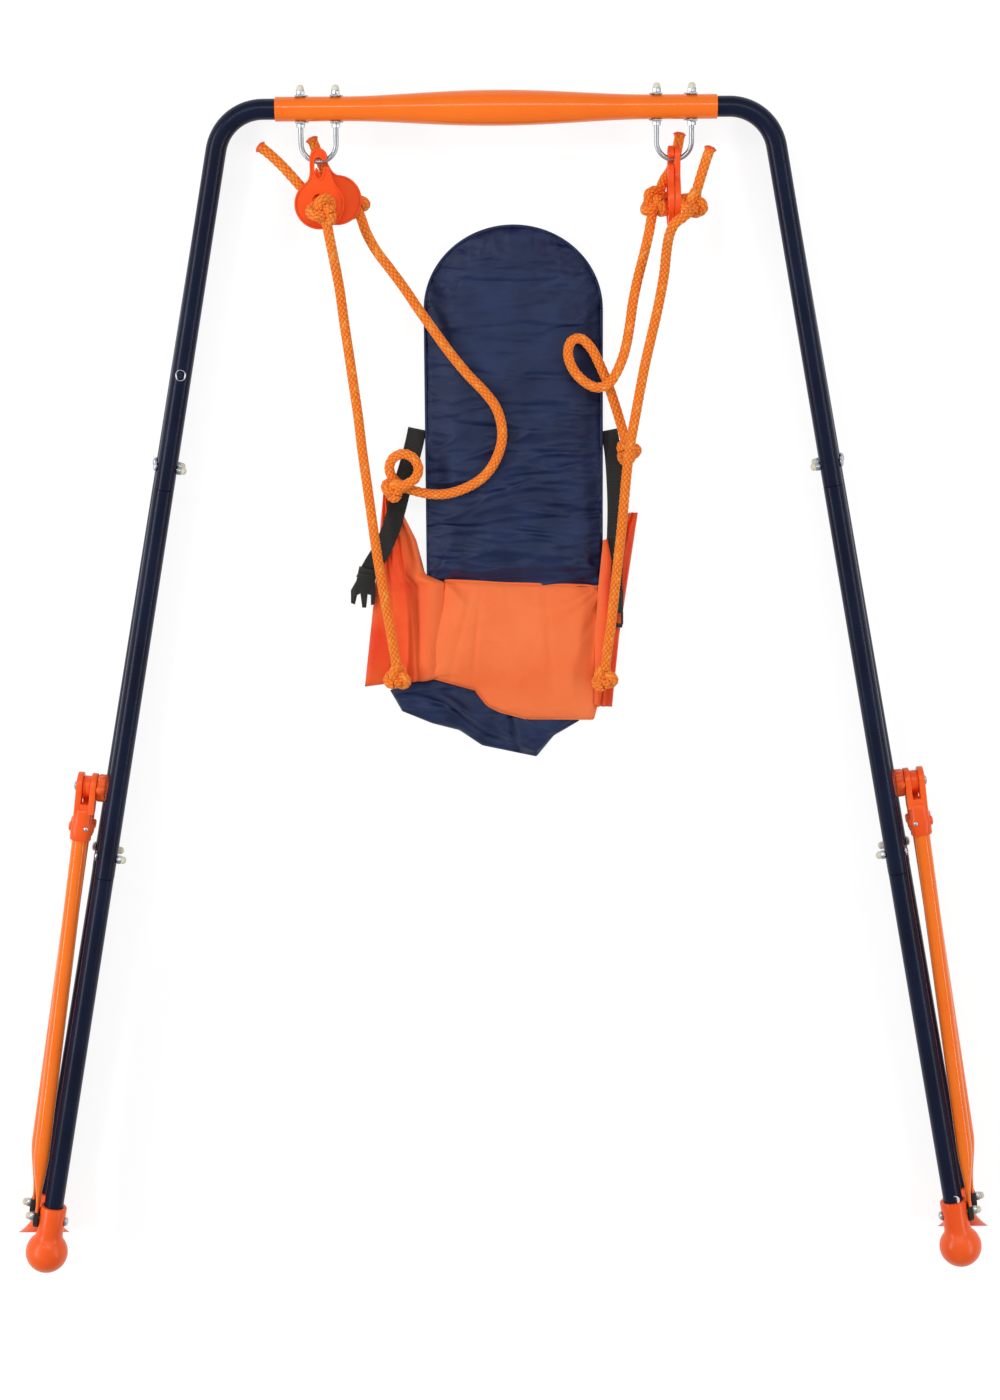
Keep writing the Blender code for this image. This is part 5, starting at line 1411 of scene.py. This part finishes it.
def strap(name, points, half, stands_for):
    """Webbing through (x, y, height) points, lying flat, with its ribs counted along it."""
    line = drawn([laid(*p) for p in mm(points)], STRAP_STEP)
    bm = bmesh.new()
    rows = len(line) - 1
    for v in gridded(bm, 8, rows, 1, rows * STRAP_STEP / RIB)[0]:
        i, wide = round((v.co.y + 1) / 2 * rows), v.co.x * half
        way = line[min(i + 1, rows)] - line[max(i - 1, 0)]
        crown = Z * (0.0006 * (v.co.x * v.co.x))
        v.co = line[i] + way.cross(Z).normalized() * wide - crown
    walled(place(name, upwards(bm), [webbing], "seat", [stands_for], 180), 0.0016, 0)


strap("left_strap", (
    (-100.5, -390.5, 5), (-104.5, -408.5, 8), (-111, -432.5, 12), (-119, -458.5, 13.6),
    (-127, -488.5, 14), (-135, -515.5, 14.2), (-147, -541.5, 14.4), (-158.8, -560.9, 15.2),
    (-169, -580, 15),
), 0.0115, "left_webbing")
strap("right_strap", (
    (137.5, -393.5, 6), (142.5, -421.5, 8), (145, -457.5, 12), (146, -493.5, 14.4),
    (145, -538.5, 15.2), (144, -573.5, 15.2), (144, -604.5, 15.2),
), 0.0105, "right_webbing")


def moulding(name, outline, low, high, stands_for=(), rounding=0.0009):
    bm = bmesh.new()
    cut_plate(bm, [laid(x, y, low) for x, y in mm(outline)], Z * (high - low), rounding)
    place(name, bm, [black_plastic], "seat", stands_for)


moulding("buckle_plug", (
    (-153, -565.5), (-175, -561.5), (-179, -579.5), (-186, -591.5), (-186, -607.5),
    (-181, -609.5), (-178, -597.5), (-174, -595.5), (-172, -613.5), (-167, -613.5),
    (-165, -596.5), (-161, -597.5), (-161, -610.5), (-156.5, -609.5), (-154.5, -593.5),
    (-155.5, -581.5),
), 0.0122, 0.0200, ["left_buckle"])
moulding("buckle_bar", ((-153.5, -566), (-174.5, -562.2), (-175.5, -568), (-154.5, -571.8)),
         0.0195, 0.0215, rounding=0.0006)
moulding("slider_body", ((133.5, -593.5), (155.5, -594), (155.2, -623), (133.5, -622.5)),
         0.0138, 0.0185)
moulding("slider_loop_low", ((134, -636), (155, -636.5), (154, -641.5), (135, -640.5)),
         0.0140, 0.0176, rounding=0.0007)
moulding("slider_loop_left", ((133.5, -621.5), (136.5, -621.5), (136.5, -637), (133.5, -637)),
         0.0140, 0.0176, rounding=0.0007)
moulding("slider_loop_right", ((152.5, -621.5), (155.5, -621.5), (155.5, -637), (152.5, -637)),
         0.0140, 0.0176, rounding=0.0007)
moulding("slider_tooth", ((136.5, -606), (152.5, -606), (152.5, -609), (136.5, -609)),
         0.0180, 0.0195, rounding=0.0005)


# ---- Number stickers --------------------------------------------------------------------
# Small round white stickers with a plain number, which tell the pieces apart when the swing is
# put together. They are stuck on the tubes' fronts.
white_film = coated("white sticker film", "zinc", (232, 232, 230), 0.35, (60.0, 800.0),
                    (222, 222, 220), (240, 240, 238))
print_ink = coated("dark print", "zinc", (40, 42, 58), 0.4, (60.0, 800.0),
                   (34, 36, 52), (52, 54, 70))


def sticker(name, number, centre, axis, radius, size):
    """A disc and its number, wrapped round a tube whose axis passes below centre."""
    wide = axis.cross(Z).normalized()

    def wrapped(bm, height):
        r = radius + height
        for v in bm.verts:
            angle = v.co.x / radius
            v.co = centre + axis * v.co.y + wide * (sin(angle) * r) + Z * (cos(angle) * r)
        bmesh.ops.recalc_face_normals(bm, faces=bm.faces)
        return upwards(bm)

    bm = bmesh.new()
    bmesh.ops.create_circle(bm, cap_ends=True, segments=36, radius=size)
    for _ in range(4):
        widest = max(bm.faces, key=lambda f: len(f.verts))
        bmesh.ops.inset_region(bm, faces=[widest], thickness=size / 5, depth=0)
    place(name + "_disc", wrapped(bm, 0.00015), [white_film], "front_frame", sharp=180)
    text = bpy.data.curves.new(name, "FONT")
    text.body, text.size, text.align_x, text.align_y = number, size * 1.35, "CENTER", "CENTER"
    bm = wrapped(flat_mesh(name, text), 0.00030)
    place(name + "_number", bm, [print_ink], "front_frame", sharp=180)


sticker("sticker_leg", "2", Vector((-0.3845, 1.128, 0.050)), up("front", -1), TUBE, 0.0066)
sticker("sticker_foot", "3", Vector((0.5795, 0.066, 0.050)), up("front", 1), LOWER, 0.0060)


# ---- Ground and light -------------------------------------------------------------------
# A white ground that goes on beyond the picture, with soft lamps from both sides of the camera.
WHITE = (1, 1, 1, 1)


def seen_by(tree, *kinds):
    """1 for the kinds of ray that are named, and 0 for all others."""
    rays = tree.nodes.new("ShaderNodeLightPath").outputs
    total = rays[kinds[0]]
    for kind in kinds[1:]:
        total = maths(tree, "ADD", total, rays[kind])
    return maths(tree, "MINIMUM", total, 1.0)


bm = bmesh.new()
below = Matrix.Translation((0, 0, -0.0006))
bmesh.ops.create_grid(bm, x_segments=1, y_segments=1, size=8, matrix=below)
ground = add("ground", meshed("ground", bm))
white = bpy.data.materials.new("white ground")
white.use_nodes = True
tree = white.node_tree
tree.nodes.clear()
seen = seen_by(tree, "Is Camera Ray", "Is Glossy Ray", "Is Transmission Ray")
glow = feed(tree, "ShaderNodeEmission", WHITE, maths(tree, "MULTIPLY", seen, 0.86))
matt, soft = (feed(tree, "ShaderNodeBsdfDiffuse", (c, c, c, 1)).outputs[0] for c in (0.80, 0.22))
lit = feed(tree, "ShaderNodeAddShader", glow.outputs[0], soft)
pick = feed(tree, "ShaderNodeMixShader", seen, matt, lit.outputs[0])
feed(tree, "ShaderNodeOutputMaterial", pick.outputs[0])
ground.data.materials.append(white)
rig.stage(ground)

world = bpy.data.worlds.new("world")
bpy.context.scene.world = world
world.use_nodes = True
tree = world.node_tree
tree.nodes.clear()
plain, backdrop = (feed(tree, "ShaderNodeBackground", WHITE, n).outputs[0] for n in (0.42, 1.0))
seen = seen_by(tree, "Is Camera Ray", "Is Transmission Ray")
pick = feed(tree, "ShaderNodeMixShader", seen, plain, backdrop)
feed(tree, "ShaderNodeOutputWorld", pick.outputs[0])

for name, spot, power, wide, long in (("left lamp", (-2.4, 0.4, 1.6), 40, 0.35, 3.0),
                                      ("right lamp", (2.5, -0.2, 1.7), 24, 0.35, 3.0),
                                      ("top lamp", (0.0, 1.7, 2.4), 22, 3.0, 0.3)):
    lamp = bpy.data.lights.new(name, "AREA")
    lamp.shape, lamp.energy, lamp.size, lamp.size_y = "RECTANGLE", power, wide, long
    holder = add(name, lamp)
    holder.location = spot
    x, y, z = spot
    holder.rotation_euler = (0, atan2(x, z), 0) if x else (-atan2(y, z), 0, 0)

bpy.context.scene.view_settings.view_transform = "Standard"
visual_box = [[float(n) for n in corner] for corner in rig.bounds()]
with open("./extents.json", "w") as sizes:
    json.dump({"cad": cad_box, "visual": visual_box}, sizes)
